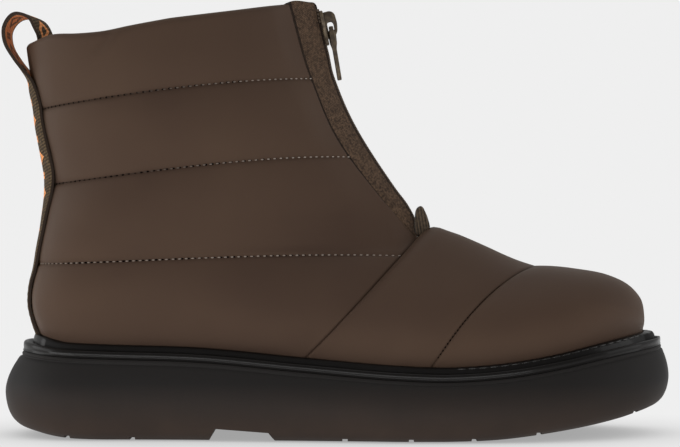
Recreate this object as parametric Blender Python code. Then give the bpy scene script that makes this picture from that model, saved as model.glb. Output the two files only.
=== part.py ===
"""Quilted puffer ankle boot with a front zip, for the right foot, built from separate sub-parts.

+X points to the toe, +Y to the inner side of the foot and +Z up. The sole stands on Z = 0, and the origin is
under the middle of the boot. Sizes are in millimetres, and each mesh is made in metres.
"""

import math
from collections import namedtuple

import bmesh
import bpy
import numpy as np
from mathutils import Matrix, Vector

MM = 0.001  # one millimetre, in metres

# Driving sizes
GAP = 0.3  # room between pieces that touch
WALL = 3.0  # padded wall at its seams, lining included
QUARTER_PUFF = 2.4  # how far a quilted panel swells between its stitch lines
VAMP_PUFF = 3.0
TOE_PUFF = 2.4
PUFF_FULLNESS = 2.6  # how square a panel's section is: 2 is a plain arc
WELT_RISE = 5.9  # the welt's rand above the top of the sole
LEDGE = 6.0  # from the upper out to the welt's lip, along the sides
HEEL_LEDGE = 7.6  # the same behind the heel, where the webbing runs down
TOE_LEDGE = 7.5  # the same at the tip of the toe
SIDE_BULGE = 4.1  # the sole's widest line outside the lip
HEEL_BULGE = 7.7
TOE_BULGE = 3.6
TOE_FULLER = (100.0, 133.0)  # X between which ledge and bulge change to those of the toe
HEEL_ROUNDER = 0.33  # how much further the sole's lower edge tucks in behind the heel
WEBBING_HALF = 13.0
WEBBING_THICK = 1.4
WEBBING_GAP = 0.36  # between the webbing and the wall it is sewn to
TAPE_THICK = 1.2
TAPE_RECESS = 0.8  # the zip tape's face below the quarter's edge
TAPE_GAP = 0.6  # between its edge and the quarter's
TAPE_LIFT = 1.5  # its lower end above the foot of the throat
CHAIN_HALF = 2.5
CHAIN_DEPTH = 2.4
CHAIN_START = 0.03  # the chain's lower end, in levels above the foot of the zip
CHAIN_ROWS = 18
INSOLE_THICK = 4.0
INSOLE_ROOM = 0.5  # between the insole's edge and the wall
TOE_SWING = 6.0  # the toe's tip towards the inner side of the foot
ZIP_FOOT = 1.2  # level of the loop that ends at the foot of the zip
COLLAR = 4.0  # level of the collar's edge

# Arched sections of the forefoot, from the main seam (0) over the toe seam (1) to the tip of the toe (2).
# Each rises from the welt on both sides to the ridge. bow is how far it swings forward at the ridge.
Arch = namedtuple("Arch", "at foot_x outer inner top_x top_z bow fullness overhang")
ARCHES = (
    Arch(0.00, -11.8, -36.5, 33.0, 36.2, 85.2, 0.0, 2.0, 4.5),
    Arch(0.10, -6.7, -37.1, 33.8, 41.6, 87.6, 0.8, 2.0, 4.5),
    Arch(0.25, 1.0, -38.0, 35.0, 49.5, 84.6, 2.0, 2.0, 4.5),
    Arch(0.50, 14.0, -39.5, 37.0, 62.5, 78.9, 4.0, 2.1, 4.5),
    Arch(1.00, 40.4, -41.5, 40.5, 87.8, 71.9, 9.5, 2.3, 4.0),
    Arch(1.25, 75.0, -40.0, 41.5, 103.0, 68.9, 9.0, 2.4, 3.0),
    Arch(1.50, 104.0, -32.0, 37.5, 117.5, 66.0, 6.0, 2.4, 1.6),
    Arch(1.70, 122.0, -19.0, 29.0, 126.8, 60.8, 3.0, 2.3, 0.6),
    Arch(1.87, 131.4, -5.0, 17.5, 131.8, 53.6, 1.0, 2.2, 0.0),
    Arch(2.00, 134.3, 6.0, 6.0, 134.3, 44.6, 0.0, 2.0, 0.0),
)

# Loops around the heel and the shaft, from the welt (0) through the stitch lines (1, 2, 3) to the collar (4).
# nose is the angle at which a loop turns in at its front end, in degrees. lift is how far its side arches up.
# round is its fullness behind its widest place: 2 is an ellipse, less is more pointed.
Loop = namedtuple("Loop", "level back_x back_z wide_x outer inner nose lift round")
LOOPS = (
    Loop(0.0, -126.3, 41.2, -92.0, 30.5, 30.0, -6.0, 0.0, 2.3),
    Loop(0.5, -129.7, 57.0, -90.0, 34.5, 34.0, 1.0, 0.6, 2.5),
    Loop(1.0, -127.7, 73.4, -86.0, 35.5, 35.0, 9.0, 1.3, 2.3),
    Loop(1.5, -124.5, 90.2, -80.0, 36.4, 35.9, 25.0, 1.6, 2.05),
    Loop(2.0, -123.4, 107.0, -74.0, 37.0, 36.5, 40.0, 1.7, 1.75),
    Loop(3.0, -128.4, 139.0, -73.0, 38.5, 38.0, 46.0, 1.0, 1.85),
    Loop(4.0, -132.5, 167.5, -77.0, 39.0, 38.5, 46.0, -1.2, 2.0),
)
COLLAR_FULL = 0.74  # share of its swell profile that the top panel runs through before the collar cuts it
HEEL_HOLD = 0.3  # share of the swell that is left under the heel webbing
HEEL_FADE = (0.06, 0.2)  # places of a loop between which the swell comes back
THROAT_FADE = 0.12  # share of a loop over which the swell dies away at its front end
TOE_FULL = 1.33  # section at which the toe cap is at its fullest
TIP_FADE = (1.8, 2.0)  # sections between which its swell dies away at the tip
WELT_FADE = math.radians(35)  # angle above the welt at which the forefoot's swell is whole
HEEL_SHARE = 0.45  # share of a loop's places behind its widest place

# Edge of the throat, from the foot of the zip to the collar, and the zip's chain along it.
Slot = namedtuple("Slot", "level x half z")
SLOTS = (
    Slot(1.2, 35.5, 6.3, 84.4),
    Slot(1.6, 20.0, 9.0, 102.2),
    Slot(2.0, 6.7, 11.0, 119.1),
    Slot(3.0, -9.6, 12.0, 152.5),
    Slot(4.0, -19.0, 12.0, 184.7),
)
Chain = namedtuple("Chain", "level x z")
CHAINS = (
    Chain(1.2, 35.6, 86.8),
    Chain(1.3, 35.0, 92.4),
    Chain(1.4, 32.6, 97.4),
    Chain(1.6, 26.8, 105.4),
    Chain(2.0, 14.8, 123.3),
    Chain(3.0, -0.4, 155.2),
    Chain(4.0, -8.2, 186.0),
)

# The top of the sole, under the welt, and its tread, along the foot.
SoleLine = namedtuple("SoleLine", "x top tread")
SOLE_LINES = (
    SoleLine(-126.3, 35.3, 2.6),
    SoleLine(-112.0, 34.5, 0.5),
    SoleLine(-98.0, 33.9, 0.0),
    SoleLine(-55.0, 32.5, 0.0),
    SoleLine(-14.0, 28.8, 0.0),
    SoleLine(27.0, 25.5, 0.0),
    SoleLine(46.0, 24.8, 0.0),
    SoleLine(68.0, 26.1, 0.8),
    SoleLine(93.0, 30.0, 3.8),
    SoleLine(110.0, 33.8, 6.5),
    SoleLine(125.0, 36.8, 9.6),
    SoleLine(134.3, 38.2, 12.0),
)

# The sole's side, from the tread to the welt: share of its height, and how far inside the widest line.
Side = namedtuple("Side", "height inset")
SOLE_SIDE = (
    Side(0.00, 9.0),
    Side(0.05, 5.4),
    Side(0.12, 3.0),
    Side(0.22, 1.35),
    Side(0.34, 0.4),
    Side(0.48, 0.0),
    Side(0.62, 0.4),
    Side(0.76, 1.4),
    Side(0.90, 2.9),
    Side(1.00, SIDE_BULGE),
)
GROOVES = (-112.0, -84.5, 4.5, 32.0, 58.0, 85.0, 127.5)  # across the tread, between its lugs
GROOVE_WIDE = 3.0
GROOVE_DEEP = 1.6
ARCH_GAP = ((-52.5, -0.5), (-49.6, 5.2), (-27.3, 3.6), (-24.4, -0.5))  # the gap under the waist: x, z

# The welt's section: outwards from the upper as a share of the ledge, and height above the sole's top.
Welt = namedtuple("Welt", "out rise")
WELT_SECTION = (
    Welt(0.06, GAP),
    Welt(0.06, 5.4),
    Welt(0.16, WELT_RISE),
    Welt(0.33, 5.5),
    Welt(0.43, 4.2),
    Welt(0.50, 2.3),
    Welt(0.66, 2.2),
    Welt(0.72, 3.0),
    Welt(0.84, 3.4),
    Welt(0.96, 3.0),
    Welt(1.00, 2.1),
    Welt(0.98, 1.0),
    Welt(0.93, GAP),
)

# The pull loop's middle line above the heel: x, z.
PULL_LOOP = (
    (-134.4, 156.6),
    (-138.6, 161.5),
    (-142.3, 167.6),
    (-143.6, 173.8),
    (-141.4, 179.0),
    (-136.7, 181.2),
    (-132.2, 178.6),
    (-129.6, 174.2),
)
WEBBING_LEVELS = (0.06, 3.45)  # the webbing's run up the heel
INSIDE_LEVEL = 3.7  # where its end is sewn inside the collar

# Zip slider and pull: places along the zip (up) and out from the chain (out), in the slider's own frame.
SLIDER_LEVEL = 3.63
SLIDER_TOP, SLIDER_BOTTOM = 7.5, -7.5
SLIDER_HALF_TOP, SLIDER_HALF_BOTTOM = 5.2, 4.0
SLIDER_BACK, SLIDER_FACE = 0.4, 2.0
SLIDER_CORNER, SLIDER_RIM, SLIDER_TAPER = 1.8, 0.5, 0.9  # cut corners, and the plate's sloping rim
SLIDER_POST_HALF, SLIDER_POST_DEPTH = 2.1, 3.0
BRIDGE = ((1.6, 6.0), (4.6, 6.3), (6.4, 4.8), (6.6, 1.0), (6.0, -2.2), (4.2, -4.2), (1.6, -4.4))  # out, up
BRIDGE_HALF = 1.3
BRIDGE_THICK = 1.2
HINGE = (4.1, -0.8)  # out, up
PULL_LENGTH = 22.6
PULL_HALF = 3.2
PULL_THICK = 1.6
PULL_CORNER = 0.8
PULL_WINDOW = (1.0, 7.6, 1.7)  # near end, far end and half width of the opening that rides on the bridge
PULL_TIP_X = 2.3  # the hanging pull's lower end

# The folded tab at the foot of the zip, seen from the side, and half its width.
Corner = namedtuple("Corner", "x z")
TAB_OUTLINE = (
    Corner(37.0, 86.1),
    Corner(39.0, 87.45),
    Corner(41.0, 88.9),
    Corner(40.4, 92.6),
    Corner(39.2, 95.6),
    Corner(38.0, 97.7),
    Corner(36.6, 97.9),
    Corner(35.6, 96.6),
    Corner(35.9, 92.0),
    Corner(36.4, 88.4),
)
TAB_HALF = 4.6

# Finish of each sub-part: base colour, roughness, metallic value
FINISHES = {
    "outsole": ((0.022, 0.020, 0.019), 0.62, 0.0),
    "welt": ((0.012, 0.011, 0.011), 0.25, 0.0),
    "insole": ((0.060, 0.045, 0.034), 0.90, 0.0),
    "upper": ((0.072, 0.049, 0.034), 0.55, 0.0),
    "zip_tape_outer": ((0.070, 0.050, 0.034), 0.90, 0.0),
    "zip_tape_inner": ((0.070, 0.050, 0.034), 0.90, 0.0),
    "zip_chain": ((0.040, 0.030, 0.022), 0.45, 0.0),
    "zip_slider": ((0.110, 0.088, 0.062), 0.40, 0.8),
    "zip_pull": ((0.110, 0.088, 0.062), 0.40, 0.8),
    "zip_end_tab": ((0.070, 0.052, 0.036), 0.90, 0.0),
    "heel_webbing": ((0.130, 0.065, 0.030), 0.85, 0.0),
}

# Divisions of the faceted forms
LEVELS = np.concatenate(
    [
        np.linspace(0, 1, 7),
        np.linspace(1, ZIP_FOOT, 3)[1:],
        np.linspace(ZIP_FOOT, 2, 5)[1:],
        np.linspace(2, 3, 5)[1:],
        np.linspace(3, COLLAR, 5)[1:],
    ]
)
LOW_LEVELS = LEVELS[LEVELS <= ZIP_FOOT + 1e-9]  # those whose loops end at the main seam
PLACES = np.array([0.0, 0.1, 0.25, 0.5, 0.75, 1.0, 1.15, 1.31, 1.48, 1.64, 1.79, 1.91, 2.0])
HEEL_COLUMNS = 7  # per side, behind the widest place
SIDE_COLUMNS = 9  # per side, from there to the front end


def smooth(table, at):
    """The table's row at any place between its rows, on a smooth curve through them."""
    rows = np.array(table, float)
    knots = rows[:, 0]
    at = np.asarray(at, float)
    slopes = np.gradient(rows, knots, axis=0)
    low = np.clip(np.searchsorted(knots, at, side="right") - 1, 0, len(knots) - 2)
    step = (knots[low + 1] - knots[low])[..., None]
    u = (at - knots[low])[..., None] / step
    row = (
        (2 * u**3 - 3 * u**2 + 1) * rows[low]
        + (u**3 - 2 * u**2 + u) * step * slopes[low]
        + (3 * u**2 - 2 * u**3) * rows[low + 1]
        + (u**3 - u**2) * step * slopes[low + 1]
    )
    return type(table[0])(*np.moveaxis(row, -1, 0))


def ease(value, start, end):
    """0 before start, 1 after end, and a soft step between them."""
    share = np.clip((value - start) / (end - start), 0, 1)
    return share * share * (3 - 2 * share)


def swell(share):
    """A quilted panel's section: 0 at both seams, 1 across its middle."""
    return 1 - np.abs(2 * share - 1) ** PUFF_FULLNESS


def hump(share):
    """0 at both ends and 1 at a third of the way."""
    return 6.75 * share * (1 - share) ** 2


def unit(vectors):
    return vectors / np.linalg.norm(vectors, axis=-1, keepdims=True)


def sole_top(x):
    return smooth(SOLE_LINES, x).top


def tread(x):
    return np.maximum(smooth(SOLE_LINES, x).tread, 0.0)


def heel_share(x):
    """1 behind the heel, 0 from the waist forwards."""
    return 1 - ease(x, LOOPS[0].back_x, -92.0)


def ledge_at(x):
    """From the upper out to the welt's lip, along the foot."""
    return LEDGE + (HEEL_LEDGE - LEDGE) * heel_share(x) + (TOE_LEDGE - LEDGE) * ease(x, *TOE_FULLER)


def feather(x):
    """Height of the line where the upper meets the welt."""
    return sole_top(x) + WELT_RISE


def arch_point(at, angle, side):
    """A point of the forefoot: at is the section, and angle runs from the welt (0) to the ridge (90 degrees)."""
    arch = smooth(ARCHES, at)
    foot_y = arch.outer if side < 0 else arch.inner
    ridge_y = TOE_SWING * ease(arch.top_x, ARCHES[0].top_x, ARCHES[-1].top_x)
    rise = np.sin(angle) ** (2 / arch.fullness)
    spread = np.cos(angle) ** (2 / arch.fullness)
    bulge = side * arch.overhang * hump(rise)
    foot_z = feather(arch.foot_x)
    x = arch.foot_x + (arch.top_x - arch.bow - arch.foot_x) * rise + arch.bow * (1 - spread**2)
    y = ridge_y + (foot_y - ridge_y) * spread + bulge
    z = foot_z + (arch.top_z - foot_z) * rise
    return np.stack(np.broadcast_arrays(x, y, z), -1)


def seam_angle(level):
    """Angle on the main seam at which a loop of this level ends."""
    return np.radians(np.interp(level, (0, 1, ZIP_FOOT), (0.0, 57.0, 80.0)))


def front_end(level, side):
    """Where a loop ends: on the main seam up to the foot of the zip, then on the edge of the throat."""
    slot = smooth(SLOTS, np.maximum(level, ZIP_FOOT))
    on_slot = np.stack([slot.x, side * slot.half, slot.z], -1)
    on_seam = arch_point(0.0, seam_angle(np.minimum(level, ZIP_FOOT)), side)
    return np.where((level <= ZIP_FOOT)[..., None], on_seam, on_slot)


def loop_places(level, half):
    """Places of a loop's columns, from the back (0) to its front end (1). The first is the webbing's edge."""
    edge_angle = np.arcsin((WEBBING_HALF / half) ** (smooth(LOOPS, level).round / 2))
    edge = HEEL_SHARE * edge_angle / (math.pi / 2)
    heel = edge[:, None] + (HEEL_SHARE - edge[:, None]) * np.linspace(0, 1, HEEL_COLUMNS)
    side = HEEL_SHARE + (1 - HEEL_SHARE) * np.linspace(0, 1, SIDE_COLUMNS + 1)[1:]
    back = np.zeros((len(level), 1))
    return np.hstack([back, heel, np.tile(side, (len(level), 1))])


def loop_point(level, place, side):
    """A point of the heel and shaft: level is the loop, place runs from the back seam (0) to the front (1)."""
    loop = smooth(LOOPS, level)
    half = loop.outer if side < 0 else loop.inner
    end = front_end(level, side)
    turn = np.clip(place / HEEL_SHARE, 0, 1) * math.pi / 2
    heel_x = loop.wide_x - (loop.wide_x - loop.back_x) * np.cos(turn) ** (2 / loop.round)
    heel_y = half * np.sin(turn) ** (2 / loop.round)
    u = np.clip((place - HEEL_SHARE) / (1 - HEEL_SHARE), 0, 1)
    reach = np.hypot(end[..., 0] - loop.wide_x, np.abs(end[..., 1]) - half)
    nose = np.radians(loop.nose)
    start, stop = 2 * u**3 - 3 * u**2 + 1, 3 * u**2 - 2 * u**3
    leave, arrive = (u**3 - 2 * u**2 + u) * reach, (u**3 - u**2) * reach
    side_x = start * loop.wide_x + leave + stop * end[..., 0] + arrive * np.cos(nose)
    side_y = start * half + stop * np.abs(end[..., 1]) - arrive * np.sin(nose)
    behind = place <= HEEL_SHARE
    x = np.where(behind, heel_x, side_x)
    y = side * np.where(behind, heel_y, side_y)
    along = (x - loop.back_x) / (end[..., 0] - loop.back_x)
    first, last = LOOPS[0].back_x, ARCHES[0].foot_x
    dip = feather(first + along * (last - first)) - feather(first) - along * (feather(last) - feather(first))
    z = loop.back_z + along * (end[..., 2] - loop.back_z) + dip * np.clip(1 - level, 0, 1) ** 2
    z = z + loop.lift * hump(1 - along)
    return np.stack([x, y, z], -1)


def loop_puff(level, place):
    """How far the quilted panels swell out of the smooth form at a point of the heel and shaft.

    The top panel stays full up to the collar, and the webbing holds all of them in behind the heel.
    """
    share = np.where(level > 3, (level - 3) * COLLAR_FULL, level % 1.0)
    ends = ease(1 - place, 0.0, THROAT_FADE) * (HEEL_HOLD + (1 - HEEL_HOLD) * ease(place, *HEEL_FADE))
    return QUARTER_PUFF * swell(share) * ends


def arch_puff(at, angle):
    """The same at a point of the forefoot, over the vamp band and then the toe cap."""
    toe_share = np.minimum((at - 1) / (TOE_FULL - 1), 1) / 2
    toe_cap = TOE_PUFF * swell(toe_share) * (1 - ease(at, *TIP_FADE))
    return np.where(at < 1, VAMP_PUFF * swell(at), toe_cap) * ease(angle, 0.0, WELT_FADE)


def clear_scene():
    for obj in list(bpy.data.objects):
        bpy.data.objects.remove(obj)


def finish_of(name):
    colour, roughness, metallic = FINISHES[name]
    material = bpy.data.materials.new(name)
    material.use_nodes = True
    shader = material.node_tree.nodes["Principled BSDF"]
    shader.inputs["Base Color"].default_value = (*colour, 1.0)
    shader.inputs["Roughness"].default_value = roughness
    shader.inputs["Metallic"].default_value = metallic
    return material


def solid(name, points, faces, frame=None, origin=(0, 0, 0)):
    """An object from points in millimetres, turned and moved by frame, with its own origin at origin."""
    mesh = bpy.data.meshes.new(name)
    placed = [(frame @ Vector(p) if frame else Vector(p)) - Vector(origin) for p in points]
    mesh.from_pydata([p * MM for p in placed], [], faces)
    work = bmesh.new()
    work.from_mesh(mesh)
    bmesh.ops.recalc_face_normals(work, faces=work.faces)
    work.to_mesh(mesh)
    work.free()
    mesh.shade_smooth()
    mesh.set_sharp_from_angle(angle=math.radians(40))
    obj = bpy.data.objects.new(name, mesh)
    obj.location = Vector(origin) * MM
    bpy.context.scene.collection.objects.link(obj)
    if name in FINISHES:
        mesh.materials.append(finish_of(name))
    else:
        obj.hide_render = True
        obj.display_type = "WIRE"
    return obj


def boolean(obj, tool, operation):
    modifier = obj.modifiers.new(tool.name, "BOOLEAN")
    modifier.object = tool
    modifier.operation = operation


def lofted(name, rows, ring=False, **placing):
    """A solid through rows of section points. A ring's rows meet end to end, and other ends are capped."""
    rows = np.asarray(rows, float)
    count, across = rows.shape[:2]
    faces = []
    for i in range(count if ring else count - 1):
        here, after = i * across, (i + 1) % count * across
        for j in range(across):
            k = (j + 1) % across
            faces.append((here + j, here + k, after + k, after + j))
    if not ring:
        faces.append(tuple(range(across)))
        faces.append(tuple((count - 1) * across + j for j in range(across)))
    return solid(name, rows.reshape(-1, 3), faces, **placing)


def stacked(name, rings):
    """A solid through level rings around the foot, closed at its bottom and top across the foot."""
    rings = np.asarray(rings, float)
    count, around = rings.shape[:2]
    faces = []
    for i in range(count - 1):
        for j in range(around):
            k = (j + 1) % around
            faces.append((i * around + j, i * around + k, (i + 1) * around + k, (i + 1) * around + j))
    for base in (0, (count - 1) * around):
        for j in range(around // 2):
            corners = (j, j + 1, (around - j - 1) % around, (around - j) % around)
            faces.append(tuple(base + c for c in dict.fromkeys(corners)))
    return solid(name, rings.reshape(-1, 3), faces)


class UpperForm:
    """The upper's smooth form as a net of points, with its outline around the welt, swell and normals."""

    def __init__(self):
        self.points, self.swells, self.faces = [], [], []
        self.loops = self.add_loops()
        self.arches = self.add_arches()
        self.rim = self.feather_row()
        self.outline = np.array(self.points)[self.rim]
        self.add_tuck()
        self.points = np.array(self.points)
        self.swells = np.array(self.swells)
        self.normals = self.find_normals()
        self.outside = self.points + self.normals * self.swells[:, None]
        self.inside = self.points - self.normals * WALL

    def add(self, points, swells):
        """Indices of new points of the net, in the shape they are given."""
        first = len(self.points)
        count = int(np.prod(np.shape(swells)))
        self.points.extend(np.reshape(points, (-1, 3)))
        self.swells.extend(np.reshape(swells, -1))
        return np.arange(first, first + count).reshape(np.shape(swells))

    def add_loops(self):
        sides = {}
        for side in (-1, 1):
            loop = smooth(LOOPS, LEVELS)
            place = loop_places(LEVELS, loop.outer if side < 0 else loop.inner)
            level = np.broadcast_to(LEVELS[:, None], place.shape)
            sides[side] = loop_point(level, place, side), loop_puff(level, place)
        points = np.concatenate([sides[-1][0][:, ::-1], sides[1][0][:, 1:]], 1)
        swells = np.concatenate([sides[-1][1][:, ::-1], sides[1][1][:, 1:]], 1)
        loops = self.add(points, swells)
        self.weave(loops)
        return loops

    def add_arches(self):
        low = len(LOW_LEVELS)
        ridge = self.add(arch_point(0.0, math.pi / 2, 1), 0.0)
        rows = [[*self.loops[:low, 0], int(ridge), *self.loops[:low, -1][::-1]]]
        angles = seam_angle(LOW_LEVELS)
        for at in PLACES[1:-1]:
            outer = self.add(arch_point(at, angles, -1), arch_puff(at, angles))
            ridge = self.add(arch_point(at, math.pi / 2, 1), arch_puff(at, math.pi / 2))
            inner = self.add(arch_point(at, angles, 1), arch_puff(at, angles))
            rows.append([*outer, int(ridge), *inner[::-1]])
        arches = np.array(rows)
        self.weave(arches)
        self.tip = int(self.add(arch_point(PLACES[-1], 0.0, 1), 0.0))
        last = arches[-1]
        self.faces.extend((last[j], last[j + 1], self.tip) for j in range(len(last) - 1))
        return arches

    def weave(self, net):
        for i in range(net.shape[0] - 1):
            for j in range(net.shape[1] - 1):
                self.faces.append((net[i, j], net[i, j + 1], net[i + 1, j + 1], net[i + 1, j]))

    def feather_row(self):
        """The points along the welt, from the toe's tip down the outer side, around the heel and back."""
        outer, inner = self.arches[1:, 0][::-1], self.arches[1:, -1]
        return np.array([self.tip, *outer, *self.loops[0], *inner])

    def add_tuck(self):
        """The wall runs straight down behind the welt to the top of the sole."""
        low = self.outline.copy()
        low[:, 2] = sole_top(low[:, 0]) + GAP
        self.tuck = self.add(low, np.zeros(len(low)))
        count = len(low)
        for j in range(count):
            k = (j + 1) % count
            self.faces.append((self.rim[j], self.rim[k], self.tuck[k], self.tuck[j]))

    def find_normals(self):
        mesh = bmesh.new()
        verts = [mesh.verts.new(p) for p in self.points]
        for face in self.faces:
            mesh.faces.new([verts[i] for i in face])
        bmesh.ops.recalc_face_normals(mesh, faces=mesh.faces)
        mesh.normal_update()
        normals = np.array([v.normal for v in verts])
        mesh.free()
        heel = self.loops[0, self.loops.shape[1] // 2]
        return normals if normals[heel, 0] < 0 else -normals

    def around(self, out, height):
        """A ring along the welt, moved out from the upper by out, at the given heights."""
        before, after = np.roll(self.outline, 1, 0), np.roll(self.outline, -1, 0)
        run = unit((after - before)[:, :2])
        away = np.stack([run[:, 1], -run[:, 0]], -1)
        away *= np.sign((away * (self.outline[:, :2] - self.outline[:, :2].mean(0))).sum(-1))[:, None]
        plan = self.outline[:, :2] + away * np.broadcast_to(out, len(away))[:, None]
        return np.column_stack([plan, np.broadcast_to(height, len(plan))])


def make_upper(form):
    """One hollow padded wall: its outside swells between the seams, and its inside is the smooth lining."""
    count = len(form.points)
    uses = {}
    for face in form.faces:
        for a, b in zip(face, face[1:] + face[:1]):
            uses.setdefault(frozenset((a, b)), []).append((a, b))
    edges = [pairs[0] for pairs in uses.values() if len(pairs) == 1]
    faces = [tuple(face) for face in form.faces]
    faces += [tuple(i + count for i in reversed(face)) for face in form.faces]
    faces += [(b, a, a + count, b + count) for a, b in edges]
    return solid("upper", np.vstack([form.outside, form.inside]), faces)


def make_outsole(form):
    """Moulded unit sole: a bulging side between tread and welt, lugs, an arch gap and a toe spring."""
    x = form.outline[:, 0]
    heel = heel_share(x)
    toe = ease(x, *TOE_FULLER)
    bulge = SIDE_BULGE + (HEEL_BULGE - SIDE_BULGE) * heel + (TOE_BULGE - SIDE_BULGE) * toe
    rings = []
    for side in SOLE_SIDE:
        upper_half = ease(side.height, 0.45, 0.6)
        rounder = HEEL_ROUNDER * heel * (1 - upper_half)
        inset = side.inset * (1 + upper_half * (bulge / SIDE_BULGE - 1) + rounder)
        height = tread(x) + side.height * (sole_top(x) - tread(x))
        rings.append(form.around(ledge_at(x) + bulge - inset, height))
    sole = stacked("outsole", rings)
    boolean(sole, tread_cutter(), "DIFFERENCE")
    return sole


def tread_cutter():
    """The arch gap and the grooves between the lugs, cut right across the tread."""
    reach = 80.0
    outlines = [ARCH_GAP]
    half = GROOVE_WIDE / 2
    for x in GROOVES:
        roof = float(tread(x)) + GROOVE_DEEP
        below = roof - 4 * GROOVE_DEEP
        outlines.append(((x - half, below), (x - half, roof), (x + half, roof), (x + half, below)))
    points, faces = [], []
    for outline in outlines:
        first = len(points)
        points += [(x, -reach, z) for x, z in outline] + [(x, reach, z) for x, z in outline]
        faces += [tuple(first + i for i in range(4)), tuple(first + 7 - i for i in range(4))]
        for i in range(4):
            k = (i + 1) % 4
            faces.append((first + k, first + i, first + 4 + i, first + 4 + k))
    return solid("tread_cutter", points, faces)


def make_welt(form):
    """Glossy strip around the upper: an inner rand, a stitch groove and an outer lip."""
    x = form.outline[:, 0]
    rings = [form.around(np.maximum(w.out * ledge_at(x), GAP), sole_top(x) + w.rise) for w in WELT_SECTION]
    return lofted("welt", np.swapaxes(rings, 0, 1), ring=True)


def make_insole(form):
    x = form.outline[:, 0]
    inset = -(WALL + INSOLE_ROOM)
    bottom = sole_top(x) + GAP
    return stacked("insole", [form.around(inset, bottom), form.around(inset, bottom + INSOLE_THICK)])


def make_zip_tape(form, name, side):
    """Textile tape from the edge of the throat to the chain, a little below the quarter's edge."""
    rows = range(len(LOW_LEVELS) - 1, len(LEVELS))
    column = 0 if side < 0 else -1
    edge = form.points[form.loops[rows, column]]
    normal = form.normals[form.loops[rows, column]]
    chain = smooth(CHAINS, LEVELS[rows])
    inner = np.stack([chain.x, np.full(len(edge), side * (CHAIN_HALF + GAP)), chain.z], -1)
    across = unit(inner - edge)
    along = unit(np.gradient(inner, axis=0))
    out = np.stack([along[:, 2], np.zeros(len(along)), -along[:, 0]], -1)
    clear = unit(across - normal * (across * normal).sum(-1, keepdims=True))
    outer = edge + clear * TAPE_GAP - normal * TAPE_RECESS
    inner = inner - out * TAPE_RECESS
    outer[0] += along[0] * TAPE_LIFT + clear[0] * TAPE_GAP
    inner[0] += along[0] * TAPE_LIFT
    section = np.stack([outer, inner, inner - out * TAPE_THICK, outer - normal * TAPE_THICK], 1)
    return lofted(name, section)


def zip_frame(level):
    """The zip's own frame at a level: out from the chain, across (Y) and up along the zip."""
    here, after = smooth(CHAINS, level), smooth(CHAINS, level + 0.01)
    up = Vector((after.x - here.x, 0, after.z - here.z)).normalized()
    out = Vector((up.z, 0, -up.x))
    frame = Matrix((out, (0, 1, 0), up)).transposed().to_4x4()
    frame.translation = (here.x, 0, here.z)
    return frame


def make_zip_chain():
    """The closed row of elements, from the foot of the zip to the slider."""
    top = SLIDER_LEVEL + (SLIDER_BOTTOM - 2 * GAP) / (smooth(CHAINS, COLLAR).z - smooth(CHAINS, 3.0).z)
    rows = []
    for level in np.linspace(ZIP_FOOT + CHAIN_START, top, CHAIN_ROWS):
        frame = zip_frame(level)
        corners = ((0, -CHAIN_HALF), (0, CHAIN_HALF), (-CHAIN_DEPTH, CHAIN_HALF), (-CHAIN_DEPTH, -CHAIN_HALF))
        rows.append([frame @ Vector((out, y, 0)) for out, y in corners])
    return lofted("zip_chain", rows)


def make_zip_slider(frame):
    """Shield-shaped plate over the chain, a post between the tapes, and the bridge that holds the pull."""
    top, bottom, cut = SLIDER_HALF_TOP, SLIDER_HALF_BOTTOM, SLIDER_CORNER
    half_shield = [
        (top - cut, SLIDER_TOP),
        (top, SLIDER_TOP - cut),
        (bottom, SLIDER_BOTTOM + cut),
        (bottom - cut, SLIDER_BOTTOM),
    ]
    shield = half_shield + [(-y, up) for y, up in reversed(half_shield)]
    plate = [
        [(SLIDER_BACK, y, up) for y, up in shield],
        [(SLIDER_FACE - SLIDER_RIM, y, up) for y, up in shield],
        [(SLIDER_FACE, y * SLIDER_TAPER, up * SLIDER_TAPER) for y, up in shield],
    ]
    slider = lofted("zip_slider", plate, frame=frame)
    half = SLIDER_POST_HALF
    ends = (SLIDER_BOTTOM + SLIDER_CORNER, SLIDER_TOP - SLIDER_CORNER)
    deep, front = -SLIDER_POST_DEPTH, (SLIDER_BACK + SLIDER_FACE) / 2
    post = [[(deep, -half, up), (deep, half, up), (front, half, up), (front, -half, up)] for up in ends]
    boolean(slider, lofted("slider_post", post, frame=frame), "UNION")
    boolean(slider, lofted("slider_bridge", bridge_rows(), frame=frame), "UNION")
    return slider


def bridge_rows():
    path = np.array(BRIDGE)
    run = unit(np.gradient(path, axis=0))
    away = np.stack([run[:, 1], -run[:, 0]], -1) * BRIDGE_THICK / 2
    rows = []
    for (out, up), (d_out, d_up) in zip(path, away):
        section = ((1, -BRIDGE_HALF), (1, BRIDGE_HALF), (-1, BRIDGE_HALF), (-1, -BRIDGE_HALF))
        rows.append([(out + s * d_out, y, up + s * d_up) for s, y in section])
    return rows


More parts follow.
